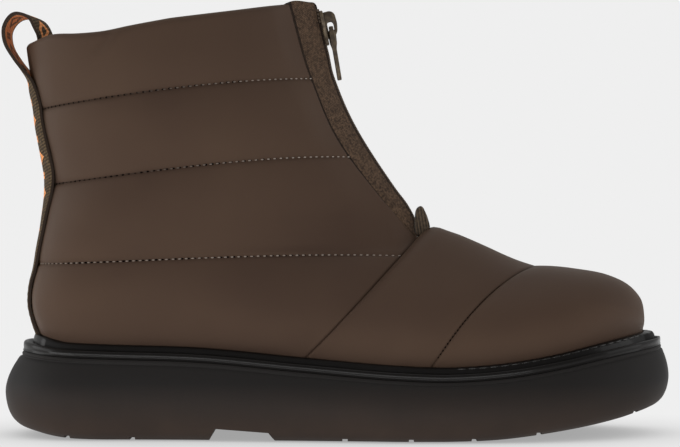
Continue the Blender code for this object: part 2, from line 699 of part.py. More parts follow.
def make_zip_pull(frame):
    """Flat tab with an opening near its top, whose top bar turns under the slider's bridge."""
    hinge = frame @ Vector((HINGE[0], 0, HINGE[1]))
    fall = math.sqrt(PULL_LENGTH**2 - (PULL_TIP_X - hinge.x) ** 2)
    down = Vector((PULL_TIP_X - hinge.x, 0, -fall)).normalized()
    face = Vector((-down.z, 0, down.x))
    near, far, half = PULL_WINDOW
    half_rim = [
        (PULL_HALF - PULL_CORNER, -near),
        (PULL_HALF, PULL_CORNER - near),
        (PULL_HALF, far + near),
        (PULL_HALF - PULL_CORNER, PULL_LENGTH - 2 * PULL_CORNER),
        (PULL_HALF - 2 * PULL_CORNER, PULL_LENGTH),
    ]
    rim = half_rim + [(-y, down_by) for y, down_by in reversed(half_rim)]
    half_thick = PULL_THICK / 2

    def face_at(out, outline):
        return [hinge + face * out + down * down_by + Vector((0, y, 0)) for y, down_by in outline]

    plate = [face_at(-half_thick, rim), face_at(half_thick, rim)]
    pull = lofted("zip_pull", plate, origin=hinge)
    window = [(-half, near), (half, near), (half, far), (-half, far)]
    cut = [face_at(-PULL_THICK, window), face_at(PULL_THICK, window)]
    boolean(pull, lofted("pull_window", cut), "DIFFERENCE")
    return pull


def make_zip_end_tab():
    rows = [[(x, y, z) for x, z in TAB_OUTLINE] for y in (-TAB_HALF, TAB_HALF)]
    return lofted("zip_end_tab", rows)


def make_heel_webbing(form):
    """One strip of webbing: up the heel seam, over the collar as a pull loop, and down inside the collar."""
    middle = form.loops.shape[1] // 2
    columns = [middle - 1, middle, middle + 1]
    levels = np.flatnonzero((LEVELS > WEBBING_LEVELS[0]) & (LEVELS < WEBBING_LEVELS[1]))
    up_heel = form.loops[levels][:, columns]
    near = form.outside[up_heel] + form.normals[up_heel] * WEBBING_GAP
    far = near + form.normals[up_heel] * WEBBING_THICK
    path = np.array(PULL_LOOP)
    run = unit(np.gradient(path, axis=0))
    away = np.stack([-run[:, 1], run[:, 0]], -1) * WEBBING_THICK / 2

    def ribbon(plan):
        return np.array([[(x, y, z) for y in (-WEBBING_HALF, 0, WEBBING_HALF)] for x, z in plan])

    inside = form.loops[np.flatnonzero(LEVELS > INSIDE_LEVEL)[::-1]][:, columns]
    tucked = form.inside[inside] - form.normals[inside] * WEBBING_GAP
    near = np.concatenate([near, ribbon(path - away), tucked])
    far = np.concatenate([far, ribbon(path + away), tucked - form.normals[inside] * WEBBING_THICK])
    return lofted("heel_webbing", np.concatenate([near, far[:, ::-1]], 1))


def main():
    clear_scene()
    form = UpperForm()
    make_outsole(form)
    make_welt(form)
    make_insole(form)
    make_upper(form)
    make_zip_tape(form, "zip_tape_outer", -1)
    make_zip_tape(form, "zip_tape_inner", 1)
    make_zip_chain()
    slider = zip_frame(SLIDER_LEVEL)
    make_zip_slider(slider)
    make_zip_pull(slider)
    make_zip_end_tab()
    make_heel_webbing(form)


main()
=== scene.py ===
# %% [markdown]
# This lesson dresses a quilted puffer boot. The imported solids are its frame: they fix every size and
# the one moving piece, the zip's pull. Each solid then gets the surface that the eye sees: padded
# cloth, tape, webbing, rubber and metal. Sizes are written in millimetres, as on a maker's sheet, and
# turn into metres only where a mesh is made. +X points to the toe, -Y is the outer side of this right
# boot, and it stands on Z = 0.

# %% Load the frame
import math
from collections import namedtuple

import bmesh
import bpy
import numpy as np
from mathutils import Matrix, Vector, noise


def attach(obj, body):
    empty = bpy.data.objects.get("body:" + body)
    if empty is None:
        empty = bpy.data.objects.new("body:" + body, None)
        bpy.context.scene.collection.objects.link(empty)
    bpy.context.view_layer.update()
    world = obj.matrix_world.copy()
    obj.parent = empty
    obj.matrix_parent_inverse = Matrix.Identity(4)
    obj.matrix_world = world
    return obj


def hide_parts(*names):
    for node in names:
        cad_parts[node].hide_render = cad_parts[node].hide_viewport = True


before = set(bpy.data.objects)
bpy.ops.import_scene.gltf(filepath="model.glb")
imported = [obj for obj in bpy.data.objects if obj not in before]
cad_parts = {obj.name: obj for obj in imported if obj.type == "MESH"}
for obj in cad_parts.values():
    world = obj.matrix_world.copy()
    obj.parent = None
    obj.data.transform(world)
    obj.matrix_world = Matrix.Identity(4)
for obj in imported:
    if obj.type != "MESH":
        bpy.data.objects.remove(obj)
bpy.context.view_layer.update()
MM = 0.001

# %% [markdown]
# A boot is sewn over a last, a wooden foot that gives it its form. The last could be sculpted by hand,
# but here short tables say how wide and high it is at a few sections, and a smooth curve runs through
# each column. They are the tables that gave the solids their form, so the fine surfaces lie on the
# frame. Only the top of the sole is a little higher here at the very heel, as in the photo.

# %% Sections of the last
Arch = namedtuple("Arch", "at foot_x outer inner top_x top_z bow fullness overhang")
ARCHES = (
    Arch(0.00, -11.8, -36.5, 33.0, 36.2, 85.2, 0.0, 2.0, 4.5),
    Arch(0.10, -6.7, -37.1, 33.8, 41.6, 87.6, 0.8, 2.0, 4.5),
    Arch(0.25, 1.0, -38.0, 35.0, 49.5, 84.6, 2.0, 2.0, 4.5),
    Arch(0.50, 14.0, -39.5, 37.0, 62.5, 78.9, 4.0, 2.1, 4.5),
    Arch(1.00, 40.4, -41.5, 40.5, 87.8, 71.9, 9.5, 2.3, 4.0),
    Arch(1.25, 75.0, -40.0, 41.5, 103.0, 68.9, 9.0, 2.4, 3.0),
    Arch(1.50, 104.0, -32.0, 37.5, 117.5, 66.0, 6.0, 2.4, 1.6),
    Arch(1.70, 122.0, -19.0, 29.0, 126.8, 60.8, 3.0, 2.3, 0.6),
    Arch(1.87, 131.4, -5.0, 17.5, 131.8, 53.6, 1.0, 2.2, 0.0),
    Arch(2.00, 134.3, 6.0, 6.0, 134.3, 44.6, 0.0, 2.0, 0.0),
)
Loop = namedtuple("Loop", "level back_x back_z wide_x outer inner nose lift round")
LOOPS = (
    Loop(0.0, -126.3, 41.2, -92.0, 30.5, 30.0, -6.0, 0.0, 2.3),
    Loop(0.5, -129.7, 57.0, -90.0, 34.5, 34.0, 1.0, 0.6, 2.5),
    Loop(1.0, -127.7, 73.4, -86.0, 35.5, 35.0, 9.0, 1.3, 2.3),
    Loop(1.5, -124.5, 90.2, -80.0, 36.4, 35.9, 25.0, 1.6, 2.05),
    Loop(2.0, -123.4, 107.0, -74.0, 37.0, 36.5, 40.0, 1.7, 1.75),
    Loop(3.0, -128.4, 139.0, -73.0, 38.5, 38.0, 46.0, 1.0, 1.85),
    Loop(4.0, -132.5, 167.5, -77.0, 39.0, 38.5, 46.0, -1.2, 2.0),
)
Slot = namedtuple("Slot", "level x half z")
SLOTS = (
    Slot(1.2, 35.5, 6.3, 84.4),
    Slot(1.6, 20.0, 9.0, 102.2),
    Slot(2.0, 6.7, 11.0, 119.1),
    Slot(3.0, -9.6, 12.0, 152.5),
    Slot(4.0, -19.0, 12.0, 184.7),
)
Chain = namedtuple("Chain", "level x z")
CHAINS = (
    Chain(1.2, 35.6, 86.8),
    Chain(1.3, 35.0, 92.4),
    Chain(1.4, 32.6, 97.4),
    Chain(1.6, 26.8, 105.4),
    Chain(2.0, 14.8, 123.3),
    Chain(3.0, -0.4, 155.2),
    Chain(4.0, -8.2, 186.0),
)
SoleLine = namedtuple("SoleLine", "x top tread")
SOLE_LINES = (
    SoleLine(-126.3, 36.1, 2.6),
    SoleLine(-112.0, 34.5, 0.5),
    SoleLine(-98.0, 33.9, 0.0),
    SoleLine(-55.0, 32.5, 0.0),
    SoleLine(-14.0, 28.8, 0.0),
    SoleLine(27.0, 25.5, 0.0),
    SoleLine(46.0, 24.8, 0.0),
    SoleLine(68.0, 26.1, 0.8),
    SoleLine(93.0, 30.0, 3.8),
    SoleLine(110.0, 33.8, 6.5),
    SoleLine(125.0, 36.8, 9.6),
    SoleLine(134.3, 38.2, 12.0),
)
ZIP_FOOT, COLLAR = 1.2, 4.0  # levels of the zip's lower end and of the collar
TOE_SWING = 6.0
TOE_BEND, BEND_LEAN = 0.073, 0.5  # how far the toe seam bends back on its way up, more so near the ridge
BEND_REACH = 0.3  # how far its neighbours bend with it
WELT_RISE = 5.9
HEEL_SHARE = 0.45  # share of a loop's places behind its widest place
SEAM_ANGLES = ((0, 1, ZIP_FOOT), (0.0, 57.0, 80.0))  # level of a loop, and where on the main seam it ends
print("last:", len(ARCHES), "arches,", len(LOOPS), "loops")

# %% Smooth curves through a table
def smooth(table, at):
    """The table's row at any place between its rows, on a smooth curve through them."""
    rows = np.array(table, float)
    knots = rows[:, 0]
    at = np.asarray(at, float)
    slopes = np.gradient(rows, knots, axis=0)
    low = np.clip(np.searchsorted(knots, at, side="right") - 1, 0, len(knots) - 2)
    step = (knots[low + 1] - knots[low])[..., None]
    u = (at - knots[low])[..., None] / step
    row = (
        (2 * u**3 - 3 * u**2 + 1) * rows[low]
        + (u**3 - 2 * u**2 + u) * step * slopes[low]
        + (3 * u**2 - 2 * u**3) * rows[low + 1]
        + (u**3 - u**2) * step * slopes[low + 1]
    )
    return type(table[0])(*np.moveaxis(row, -1, 0))


def curve_through(points, per_span, closed=False):
    """A smooth line through points, or a surface through rows, in per_span steps from each to the next."""
    p = np.asarray(points, float)
    if closed:
        p = np.concatenate([p[-1:], p, p[:2]])
    else:
        p = np.concatenate([2 * p[:1] - p[1:2], p, 2 * p[-1:] - p[-2:-1]])
    u = (np.arange(per_span) / per_span).reshape(-1, *[1] * (p.ndim - 1))
    spans = []
    for a, b, c, d in zip(p, p[1:], p[2:], p[3:]):
        bend = (2 * a - 5 * b + 4 * c - d) * u**2 + (3 * b - a - 3 * c + d) * u**3
        spans.append(b + ((c - a) * u + bend) / 2)
    if not closed:
        spans.append(p[-2:-1])
    return np.concatenate(spans)


def ease(value, start, end):
    """0 before start, 1 after end, and a soft step between them."""
    share = np.clip((value - start) / (end - start), 0, 1)
    return share * share * (3 - 2 * share)


def near(distance, half):
    """1 on a line, and softly 0 a little past half its width."""
    return np.exp(-((distance / half) ** 2))


def hump(share):
    """0 at both ends and 1 at a third of the way."""
    return 6.75 * share * (1 - share) ** 2


def unit(vectors):
    return vectors / np.maximum(np.linalg.norm(vectors, axis=-1, keepdims=True), 1e-12)


def feather(x):
    """Height of the line where the upper meets the welt."""
    return smooth(SOLE_LINES, x).top + WELT_RISE


def heel_share(x):
    """1 behind the heel, 0 from the waist forwards."""
    return 1 - ease(x, LOOPS[0].back_x, LOOPS[0].wide_x)


print("toe's tip meets the welt", round(float(feather(ARCHES[-1].foot_x)), 1), "mm above the floor")

# %% [markdown]
# Two kinds of section cover the whole upper. Arches span the forefoot like ribs, from the main seam to
# the tip of the toe. Loops run around heel and shaft, from the welt up to the collar. Each is a
# function of two numbers, so any point of the cloth, and any stitch on it, can be asked for by name
# instead of being searched for.

# %% The forefoot and the shaft as functions
def arch_point(at, angle, side):
    """A point of the forefoot: at is the section, angle runs from the welt (0) to the ridge (90)."""
    bend = TOE_BEND * np.sin(2 * angle) * (1 + BEND_LEAN * np.sin(angle))
    arch = smooth(ARCHES, at - bend * near(at - 1, BEND_REACH))
    foot_y = arch.outer if side < 0 else arch.inner
    ridge_y = TOE_SWING * ease(arch.top_x, ARCHES[0].top_x, ARCHES[-1].top_x)
    rise = np.sin(angle) ** (2 / arch.fullness)
    spread = np.cos(angle) ** (2 / arch.fullness)
    foot_z = feather(arch.foot_x)
    x = arch.foot_x + (arch.top_x - arch.bow - arch.foot_x) * rise + arch.bow * (1 - spread**2)
    y = ridge_y + (foot_y - ridge_y) * spread + side * arch.overhang * hump(rise)
    z = foot_z + (arch.top_z - foot_z) * rise
    return np.stack(np.broadcast_arrays(x, y, z), -1)


def seam_angle(level):
    return np.radians(np.interp(level, *SEAM_ANGLES))


def front_end(level, side):
    """Where a loop ends: on the main seam up to the foot of the zip, then on the edge of the throat."""
    slot = smooth(SLOTS, np.maximum(level, ZIP_FOOT))
    on_slot = np.stack([slot.x, side * slot.half, slot.z], -1)
    on_seam = arch_point(0.0, seam_angle(np.minimum(level, ZIP_FOOT)), side)
    return np.where((level <= ZIP_FOOT)[..., None], on_seam, on_slot)


def loop_point(level, place, side):
    """A point of heel and shaft: level is the loop, place runs from the back seam (0) to the front (1)."""
    level, place = np.broadcast_arrays(np.asarray(level, float), np.asarray(place, float))
    loop = smooth(LOOPS, level)
    half = loop.outer if side < 0 else loop.inner
    end = front_end(level, side)
    turn = np.clip(place / HEEL_SHARE, 0, 1) * math.pi / 2
    heel_x = loop.wide_x - (loop.wide_x - loop.back_x) * np.cos(turn) ** (2 / loop.round)
    heel_y = half * np.sin(turn) ** (2 / loop.round)
    u = np.clip((place - HEEL_SHARE) / (1 - HEEL_SHARE), 0, 1)
    reach = np.hypot(end[..., 0] - loop.wide_x, np.abs(end[..., 1]) - half)
    nose = np.radians(loop.nose)
    start, stop = 2 * u**3 - 3 * u**2 + 1, 3 * u**2 - 2 * u**3
    leave, arrive = (u**3 - 2 * u**2 + u) * reach, (u**3 - u**2) * reach
    side_x = start * loop.wide_x + leave + stop * end[..., 0] + arrive * np.cos(nose)
    side_y = start * half + stop * np.abs(end[..., 1]) - arrive * np.sin(nose)
    behind = place <= HEEL_SHARE
    x = np.where(behind, heel_x, side_x)
    y = side * np.where(behind, heel_y, side_y)
    along = (x - loop.back_x) / (end[..., 0] - loop.back_x)
    first, last = LOOPS[0].back_x, ARCHES[0].foot_x
    straight = feather(first) + along * (feather(last) - feather(first))
    dip = feather(first + along * (last - first)) - straight
    z = loop.back_z + along * (end[..., 2] - loop.back_z) + dip * np.clip(1 - level, 0, 1) ** 2
    return np.stack([x, y, z + loop.lift * hump(1 - along)], -1)


print("collar's back edge at", np.round(loop_point(COLLAR, 0.0, -1), 1))

# %% [markdown]
# The quilting is wadding sewn down along lines, so each panel swells between its seams and is drawn in
# at them. A cloth simulation could blow the panels up, but the last already holds them, and the photo
# shows calm, tight panels. So the swell is a formula of the distance to the seams, which keeps the
# frame's form to the millimetre.

# %% How far each panel swells
QUARTER_PUFF, VAMP_PUFF, TOE_PUFF = 2.4, 3.0, 2.4
PUFF_FULLNESS = 2.6  # how square a panel's section is: 2 is a plain arc
COLLAR_FULL = 0.74
HEEL_HOLD, HEEL_FADE, THROAT_FADE = 0.3, (0.06, 0.2), 0.12
TOE_FULL, TIP_FADE, WELT_FADE = 1.33, (1.8, 2.0), math.radians(35)
RIDGE_FLAT = 0.7  # how flat the vamp's ridge lies before the toe cap
FLAT_FROM, FLAT_ANGLES = (0.45, 0.95), np.radians((35, 80))


def swell(share):
    """A panel's section: 0 at both seams, 1 across its middle."""
    return 1 - np.abs(2 * share - 1) ** PUFF_FULLNESS


def loop_puff(level, place):
    share = np.where(level > 3, (level - 3) * COLLAR_FULL, level % 1.0)
    ends = ease(1 - place, 0.0, THROAT_FADE) * (HEEL_HOLD + (1 - HEEL_HOLD) * ease(place, *HEEL_FADE))
    return QUARTER_PUFF * swell(share) * ends


def arch_puff(at, angle):
    toe_share = np.minimum((at - 1) / (TOE_FULL - 1), 1) / 2
    toe_cap = TOE_PUFF * swell(toe_share) * (1 - ease(at, *TIP_FADE))
    vamp = VAMP_PUFF * swell(at) * (1 - RIDGE_FLAT * ease(at, *FLAT_FROM) * ease(angle, *FLAT_ANGLES))
    return np.where(at < 1, vamp, toe_cap) * ease(angle, 0.0, WELT_FADE)


def on_quarter(level, place, side, lift=0.0):
    """A point on the cloth of heel and shaft, lifted off it by lift, and the outward direction there."""
    step = 1e-3
    level, place = np.broadcast_arrays(np.asarray(level, float), np.asarray(place, float))
    up = loop_point(np.minimum(level + step, COLLAR), place, side) - loop_point(level - step, place, side)
    ahead = loop_point(level, np.minimum(place + step, 1), side)
    run = ahead - loop_point(level, np.maximum(place - step, 0), side)
    out = unit(np.cross(run, up)) * -side
    return loop_point(level, place, side) + out * (loop_puff(level, place) + lift)[..., None], out


def on_forefoot(at, angle, side, lift=0.0):
    """The same on the vamp and the toe cap."""
    step = 1e-3
    at, angle = np.broadcast_arrays(np.asarray(at, float), np.asarray(angle, float))
    ahead = arch_point(at + step, angle, side) - arch_point(at - step, angle, side)
    rise = arch_point(at, angle + step, side) - arch_point(at, np.maximum(angle - step, 0), side)
    out = unit(np.cross(ahead, rise)) * -side
    return arch_point(at, angle, side) + out * (arch_puff(at, angle) + lift)[..., None], out


side_panel = on_quarter(np.array(1.5), np.array(0.6), -1)[0]
print("middle of the outer quarter:", np.round(side_panel, 1))

# %% [markdown]
# A finish is a small tree of nodes. These helpers add a node with its settings in one line, so that
# each finish below reads like a recipe. A value that is the same everywhere is set on the shader
# itself, and only what changes over the surface is linked to it.

# %% Helpers for finishes
def socket_of(node, key):
    """A node's input by its plain name, or by its number written as n0, n1 and so on."""
    if key[1:].isdigit():
        return node.inputs[int(key[1:])]
    return next(s for s in node.inputs if s.name.lower() == key.replace("_", " "))


def feed(tree, socket, value):
    """Links another node's output to a socket, or sets its plain value."""
    if isinstance(value, bpy.types.NodeSocket):
        tree.links.new(value, socket)
    else:
        socket.default_value = value


def add(tree, kind, settings=(), **inputs):
    """A new node with its own settings and inputs."""
    node = tree.nodes.new(kind)
    for key, value in dict(settings).items():
        setattr(node, key, value)
    for key, value in inputs.items():
        feed(tree, socket_of(node, key), value)
    return node


def new_finish(name, **values):
    """A material, its tree and its Principled shader with these plain values."""
    material = bpy.data.materials.new(name)
    material.use_nodes = True
    tree = material.node_tree
    shader = tree.nodes["Principled BSDF"]
    for key, value in values.items():
        socket_of(shader, key).default_value = value
    return material, tree, shader


def sums(tree, operation, *values):
    inputs = {f"n{i}": value for i, value in enumerate(values)}
    return add(tree, "ShaderNodeMath", {"operation": operation}, **inputs).outputs[0]


def blend(tree, share, first, second):
    """A colour between two colours."""
    return add(tree, "ShaderNodeMix", {"data_type": "RGBA"}, n0=share, n6=first, n7=second).outputs[2]


def mottle(tree, place, scale, detail=3.0):
    """Soft cloudy noise, from 0 to 1."""
    return add(tree, "ShaderNodeTexNoise", vector=place, scale=scale, detail=detail).outputs[0]


def spread(tree, value, low, high):
    """A value from low to high as 0 to 1."""
    return add(tree, "ShaderNodeMapRange", n0=value, n1=low, n2=high).outputs[0]


def relief(tree, shader, height, depth, strength=1.0, under=None):
    """Bumps of a depth in millimetres, laid over those of another node."""
    bump = add(tree, "ShaderNodeBump", height=height, distance=depth * MM, strength=strength)
    if under is not None:
        tree.links.new(under, bump.inputs["Normal"])
    tree.links.new(bump.outputs[0], shader.inputs["Normal"])
    return bump.outputs[0]


def object_place(tree):
    return tree.nodes.new("ShaderNodeTexCoord").outputs["Object"]


def cloth_place(tree):
    """Across and along the cloth, in millimetres, from the piece's own map."""
    parts = add(tree, "ShaderNodeSeparateXYZ", vector=tree.nodes.new("ShaderNodeUVMap").outputs[0])
    return parts.outputs[0], parts.outputs[1]


def ridges(tree, place, pitch):
    """A row of round ridges, from 0 to 1, one each pitch."""
    wave = sums(tree, "SINE", sums(tree, "MULTIPLY", place, 2 * math.pi / pitch))
    return sums(tree, "MULTIPLY_ADD", wave, 0.5, 0.5)


def rgb(hex_code):
    """A colour of the screen as the shader's linear one."""
    channels = [int(hex_code[i : i + 2], 16) / 255 for i in (0, 2, 4)]
    linear = [c / 12.92 if c <= 0.04045 else ((c + 0.055) / 1.055) ** 2.4 for c in channels]
    return (*linear, 1.0)


print("taupe, linear:", [round(c, 3) for c in rgb("46382f")])

# %% [markdown]
# The shell is a tight nylon with a satin gloss. Up close it has a very fine plain weave, and from a step
# away it is calm, with a sheen that lifts its colour where the cloth turns away. A mask kept on the mesh
# says how near a seam each point is: there the cloth creases, and its colour is darkened with painted
# shade.

# %% Shell and lining cloth
NYLON, NYLON_DEEP, PAINTED_SHADE = rgb("4f3f35"), rgb("483931"), rgb("20160f")
LINING, LINING_DEEP = rgb("3a2f28"), rgb("2e2520")
SEAM_PAINTED_SHADE = 0.48  # share of painted shade right on a seam


def shell_finish():
    material, tree, shader = new_finish("satin_nylon", specular_ior_level=0.16, sheen_weight=0.08)
    shader.inputs["Sheen Roughness"].default_value = 0.4
    shader.inputs["Sheen Tint"].default_value = rgb("d0a880")
    shader.inputs["Specular Tint"].default_value = rgb("ffd4ac")
    place = object_place(tree)
    across, along = cloth_place(tree)
    cloudy = spread(tree, mottle(tree, place, 16.0), 0.3, 0.7)
    seam = add(tree, "ShaderNodeAttribute", {"attribute_name": "seam"}).outputs["Fac"]
    cloth = blend(tree, cloudy, NYLON_DEEP, NYLON)
    # The seam mask darkens the cloth's colour with painted shade along the seams and quilting lines.
    shaded = sums(tree, "MULTIPLY", seam, SEAM_PAINTED_SHADE)
    feed(tree, shader.inputs["Base Color"], blend(tree, shaded, cloth, PAINTED_SHADE))
    feed(tree, shader.inputs["Roughness"], sums(tree, "MULTIPLY_ADD", cloudy, 0.08, 0.48))
    weave = sums(tree, "MULTIPLY", ridges(tree, across, 0.32), ridges(tree, along, 0.26))
    soft = relief(tree, shader, mottle(tree, place, 260.0), 0.06, 0.5)
    relief(tree, shader, weave, 0.02, 0.6, soft)
    return material


def lining_finish():
    """Brushed knit on the inside."""
    material, tree, shader = new_finish("brushed_lining", roughness=0.95, sheen_weight=0.4)
    shader.inputs["Sheen Roughness"].default_value = 0.5
    place = object_place(tree)
    nap = mottle(tree, place, 900.0, 4.0)
    patches = mottle(tree, place, 35.0)
    share = sums(tree, "MULTIPLY_ADD", nap, 0.6, sums(tree, "MULTIPLY", patches, 0.5))
    feed(tree, shader.inputs["Base Color"], blend(tree, share, LINING_DEEP, LINING))
    relief(tree, shader, nap, 0.35, 0.7)
    return material


shell_cloth, lining_cloth = shell_finish(), lining_finish()
print("finishes:", shell_cloth.name, lining_cloth.name)

# %% [markdown]
# The fine surface of the upper is a net of rows and columns. An even net would waste its points on the
# calm middles of the panels and miss the narrow valleys at the seams. So the rows crowd together at
# each quilting line, at the two seams and at the collar, where the cloth really bends.

# %% Rows and columns of the upper
LINES = (1, 2, 3)  # levels of the three quilting lines
PANEL_ROWS, HEEL_COLUMNS, SIDE_COLUMNS = 24, 32, 64
VAMP_ROWS, TOE_ROWS, RIDGE_COLUMNS = 28, 48, 5
FRONT_CROWD = 1.5  # how far the columns crowd towards the front ends of the loops


def crowded(start, end, steps, pull=0.8):
    """Places from start to end, drawn together at both ends."""
    u = np.linspace(0, 1, steps + 1)
    return start + (end - start) * (u - pull * np.sin(2 * math.pi * u) / (2 * math.pi))


levels = np.concatenate([crowded(0, 1, PANEL_ROWS)] + [crowded(k, k + 1, PANEL_ROWS)[1:] for k in LINES])
levels[np.abs(levels - ZIP_FOOT).argmin()] = ZIP_FOOT
to_front = 1 - (1 - np.linspace(0, 1, SIDE_COLUMNS + 1)[1:]) ** FRONT_CROWD
places = np.append(np.linspace(0, HEEL_SHARE, HEEL_COLUMNS + 1), HEEL_SHARE + (1 - HEEL_SHARE) * to_front)
low_rows = int((levels <= ZIP_FOOT).sum())
over_ridge = np.radians(np.linspace(SEAM_ANGLES[1][-1], 90, RIDGE_COLUMNS + 1)[1:])
angles = np.append(seam_angle(levels[:low_rows]), over_ridge)
sections = np.append(crowded(0, 1, VAMP_ROWS), crowded(1, 2, TOE_ROWS, 0.6)[1:])
both_places, both_angles = np.append(places[::-1], places[1:]), np.append(angles, angles[-2::-1])
level_column, section_column = levels[:, None], sections[:, None]
quarter = np.hstack([loop_point(level_column, places[::-1], -1), loop_point(level_column, places[1:], 1)])
outer_half = arch_point(section_column, angles, -1)
inner_half = arch_point(section_column, angles[-2::-1], 1)
forefoot = np.hstack([outer_half, inner_half])
# The loops turn sharply where they pass from the main seam to the throat, so the cloth is eased there.
EASED_LEVELS, EASED_PLACES, EASING_ROUNDS = (1.06, 1.16, 1.45), (0.5, 0.75, 0.97), 60
eased = ease(level_column, *EASED_LEVELS[:2]) * (1 - ease(level_column, EASED_LEVELS[1], EASED_LEVELS[2]))
eased = eased * ease(both_places, *EASED_PLACES[:2]) * (1 - ease(both_places, EASED_PLACES[2], 1.0))
for _ in range(EASING_ROUNDS):
    between = (np.roll(quarter, 1, 0) + np.roll(quarter, -1, 0)) / 2
    quarter += 0.5 * eased[..., None] * (between - quarter)
# The collar dips behind the ankle and rises to a corner at the back: x, and how far the edge is lifted.
Wave = namedtuple("Wave", "x rise")
COLLAR_WAVE = (
    Wave(-128.0, 0.0),
    Wave(-120.0, 0.8),
    Wave(-108.0, -0.8),
    Wave(-97.0, -1.6),
    Wave(-85.0, -0.9),
    Wave(-68.0, 0.0),
)
WAVE_FROM = 3.3  # level at which the wave starts to show
waved = smooth(COLLAR_WAVE, np.clip(quarter[..., 0], COLLAR_WAVE[0].x, COLLAR_WAVE[-1].x)).rise
quarter[..., 2] += waved * ease(level_column, WAVE_FROM, COLLAR)
print("nets:", quarter.shape[:2], "on heel and shaft,", forefoot.shape[:2], "on the forefoot")

# %% [markdown]
# Every dip, roll and crease is a lift off that net, in millimetres, worked out from how far a point is from
# the nearest line, seam or edge. The few real creases are listed one by one: a row gives the two ends of a
# crease on one side of the boot, how wide it is, and its depth, below zero for a trough and above for a
# ridge.

# %% Dips, rolled edges and creases
WALL, GAP = 3.0, 0.3
QUILT_DIP, QUILT_HALF = 0.5, 0.9
QUILT_PAINTED_SHADE, QUILT_PAINTED_SHADE_HALF = 0.3, 0.6 * QUILT_HALF  # a quilting line's painted shade, next to 1 on a seam
SEAM_DIP, SEAM_HALF = 0.6, 0.5
EDGE_SHARE = 0.96  # how nearly a rolled edge closes
RIPPLE, RIPPLE_SIZE = 0.14, 17.0  # slow unevenness of the wadding, and its length
PUCKER, PUCKER_SIZE, PUCKER_REACH = 0.22, 4.5, 3.5  # small gathers along the quilting lines
Crease = namedtuple("Crease", "side x0 z0 x1 z1 half depth")
CREASES = (
    Crease(-1, -92.6, 170.0, -97.8, 163.0, 1.5, -0.95),
    Crease(-1, -89.6, 169.0, -95.0, 162.0, 1.6, 0.6),
    Crease(-1, -112.0, 90.0, -84.0, 86.5, 4.0, -0.22),
    Crease(-1, 2.0, 98.0, 18.0, 88.0, 4.5, -0.25),
    Crease(1, -70.0, 171.5, -78.0, 162.5, 2.0, -0.5),
    Crease(1, 0.0, 100.0, 19.0, 88.0, 4.5, -0.4),
    Crease(1, -6.0, 92.0, 12.0, 82.0, 4.0, 0.25),
)
TOE_FRONT, TOE_FRONT_FROM, TOE_FRONT_TO = 0.6, (1.4, 1.72), (1.94, 2.0)  # extra fullness at the toe's front
TOE_FRONT_SIDE = (0.1, 0.6)  # heights on the arch over which it comes in, as sines of the angle


def runs(net, axis):
    """How far each point of a net is along its columns (0) or rows (1), in millimetres."""
    steps = np.linalg.norm(np.diff(net, axis=axis), axis=-1)
    return np.concatenate([np.zeros_like(np.take(steps, [0], axis)), np.cumsum(steps, axis)], axis)


def rolled(distance, thick):
    """How far each face of a wall draws in towards its middle near a rolled edge."""
    reach = np.clip(1 - distance / (thick / 2), 0, 1)
    return thick / 2 * (1 - np.sqrt(1 - reach**2)) * EDGE_SHARE


def clouds(points, size):
    values = [noise.noise(Vector(p) / size) for p in points.reshape(-1, 3)]
    return np.array(values).reshape(points.shape[:-1])


def creases(points):
    """The lift of all hand-placed creases at these points."""
    lift = np.zeros(points.shape[:-1])
    plan = points[..., [0, 2]]
    for crease in CREASES:
        start, end = np.array(crease[1:3]), np.array(crease[3:5])
        share = ((plan - start) @ (end - start)) / ((end - start) @ (end - start))
        off = np.linalg.norm(plan - start - np.clip(share, 0, 1)[..., None] * (end - start), axis=-1)
        lift += crease.depth * near(off, crease.half) * (np.sign(points[..., 1]) == crease.side)
    return lift


quarter_up, quarter_along = runs(quarter, 0), runs(quarter, 1)
line_rows = [np.abs(levels - k).argmin() for k in LINES]
to_line = np.min([np.abs(quarter_up - quarter_up[row]) for row in line_rows], 0)
to_end = np.minimum(quarter_along, quarter_along[:, -1:] - quarter_along)
to_collar = quarter_up[-1] - quarter_up
above_seam = level_column > ZIP_FOOT
quarter_puff = loop_puff(level_column, both_places)
quarter_thick = WALL + quarter_puff
quarter_roll = np.maximum(rolled(to_collar, quarter_thick), rolled(to_end, quarter_thick) * above_seam)
at_seam = near(to_end, SEAM_HALF) * ~above_seam
# Painted shade beside the quilting lines and the main seam, kept on the mesh as its seam mask.
quarter_painted_shade = np.maximum(near(to_line, QUILT_PAINTED_SHADE_HALF) * QUILT_PAINTED_SHADE, at_seam)
quarter_dip = QUILT_DIP * near(to_line, QUILT_HALF) + SEAM_DIP * at_seam
gather = PUCKER * clouds(quarter, PUCKER_SIZE) * near(to_line, PUCKER_REACH)
quarter_ripple = RIPPLE * clouds(quarter, RIPPLE_SIZE)
quarter_lift = quarter_puff - quarter_dip + gather + creases(quarter) + quarter_ripple

forefoot_run = runs(forefoot, 0)
to_toe_seam = np.abs(forefoot_run - forefoot_run[np.abs(sections - 1).argmin()])
over_throat = both_angles > math.radians(SEAM_ANGLES[1][-1] + 0.1)
forefoot_puff = arch_puff(section_column, both_angles)
forefoot_roll = rolled(forefoot_run, WALL + forefoot_puff) * over_throat
to_seam = np.minimum(to_toe_seam, np.where(over_throat, 1e3, forefoot_run))
forefoot_seam = near(to_seam, SEAM_HALF)
forefoot_lift = forefoot_puff - SEAM_DIP * forefoot_seam + RIPPLE * clouds(forefoot, RIPPLE_SIZE)
toe_front = ease(section_column, *TOE_FRONT_FROM) * (1 - ease(section_column, *TOE_FRONT_TO))
forefoot_lift += TOE_FRONT * toe_front * ease(np.sin(both_angles), *TOE_FRONT_SIDE)
print("lift from", round(float(quarter_lift.min()), 2), "to", round(float(forefoot_lift.max()), 2), "mm")

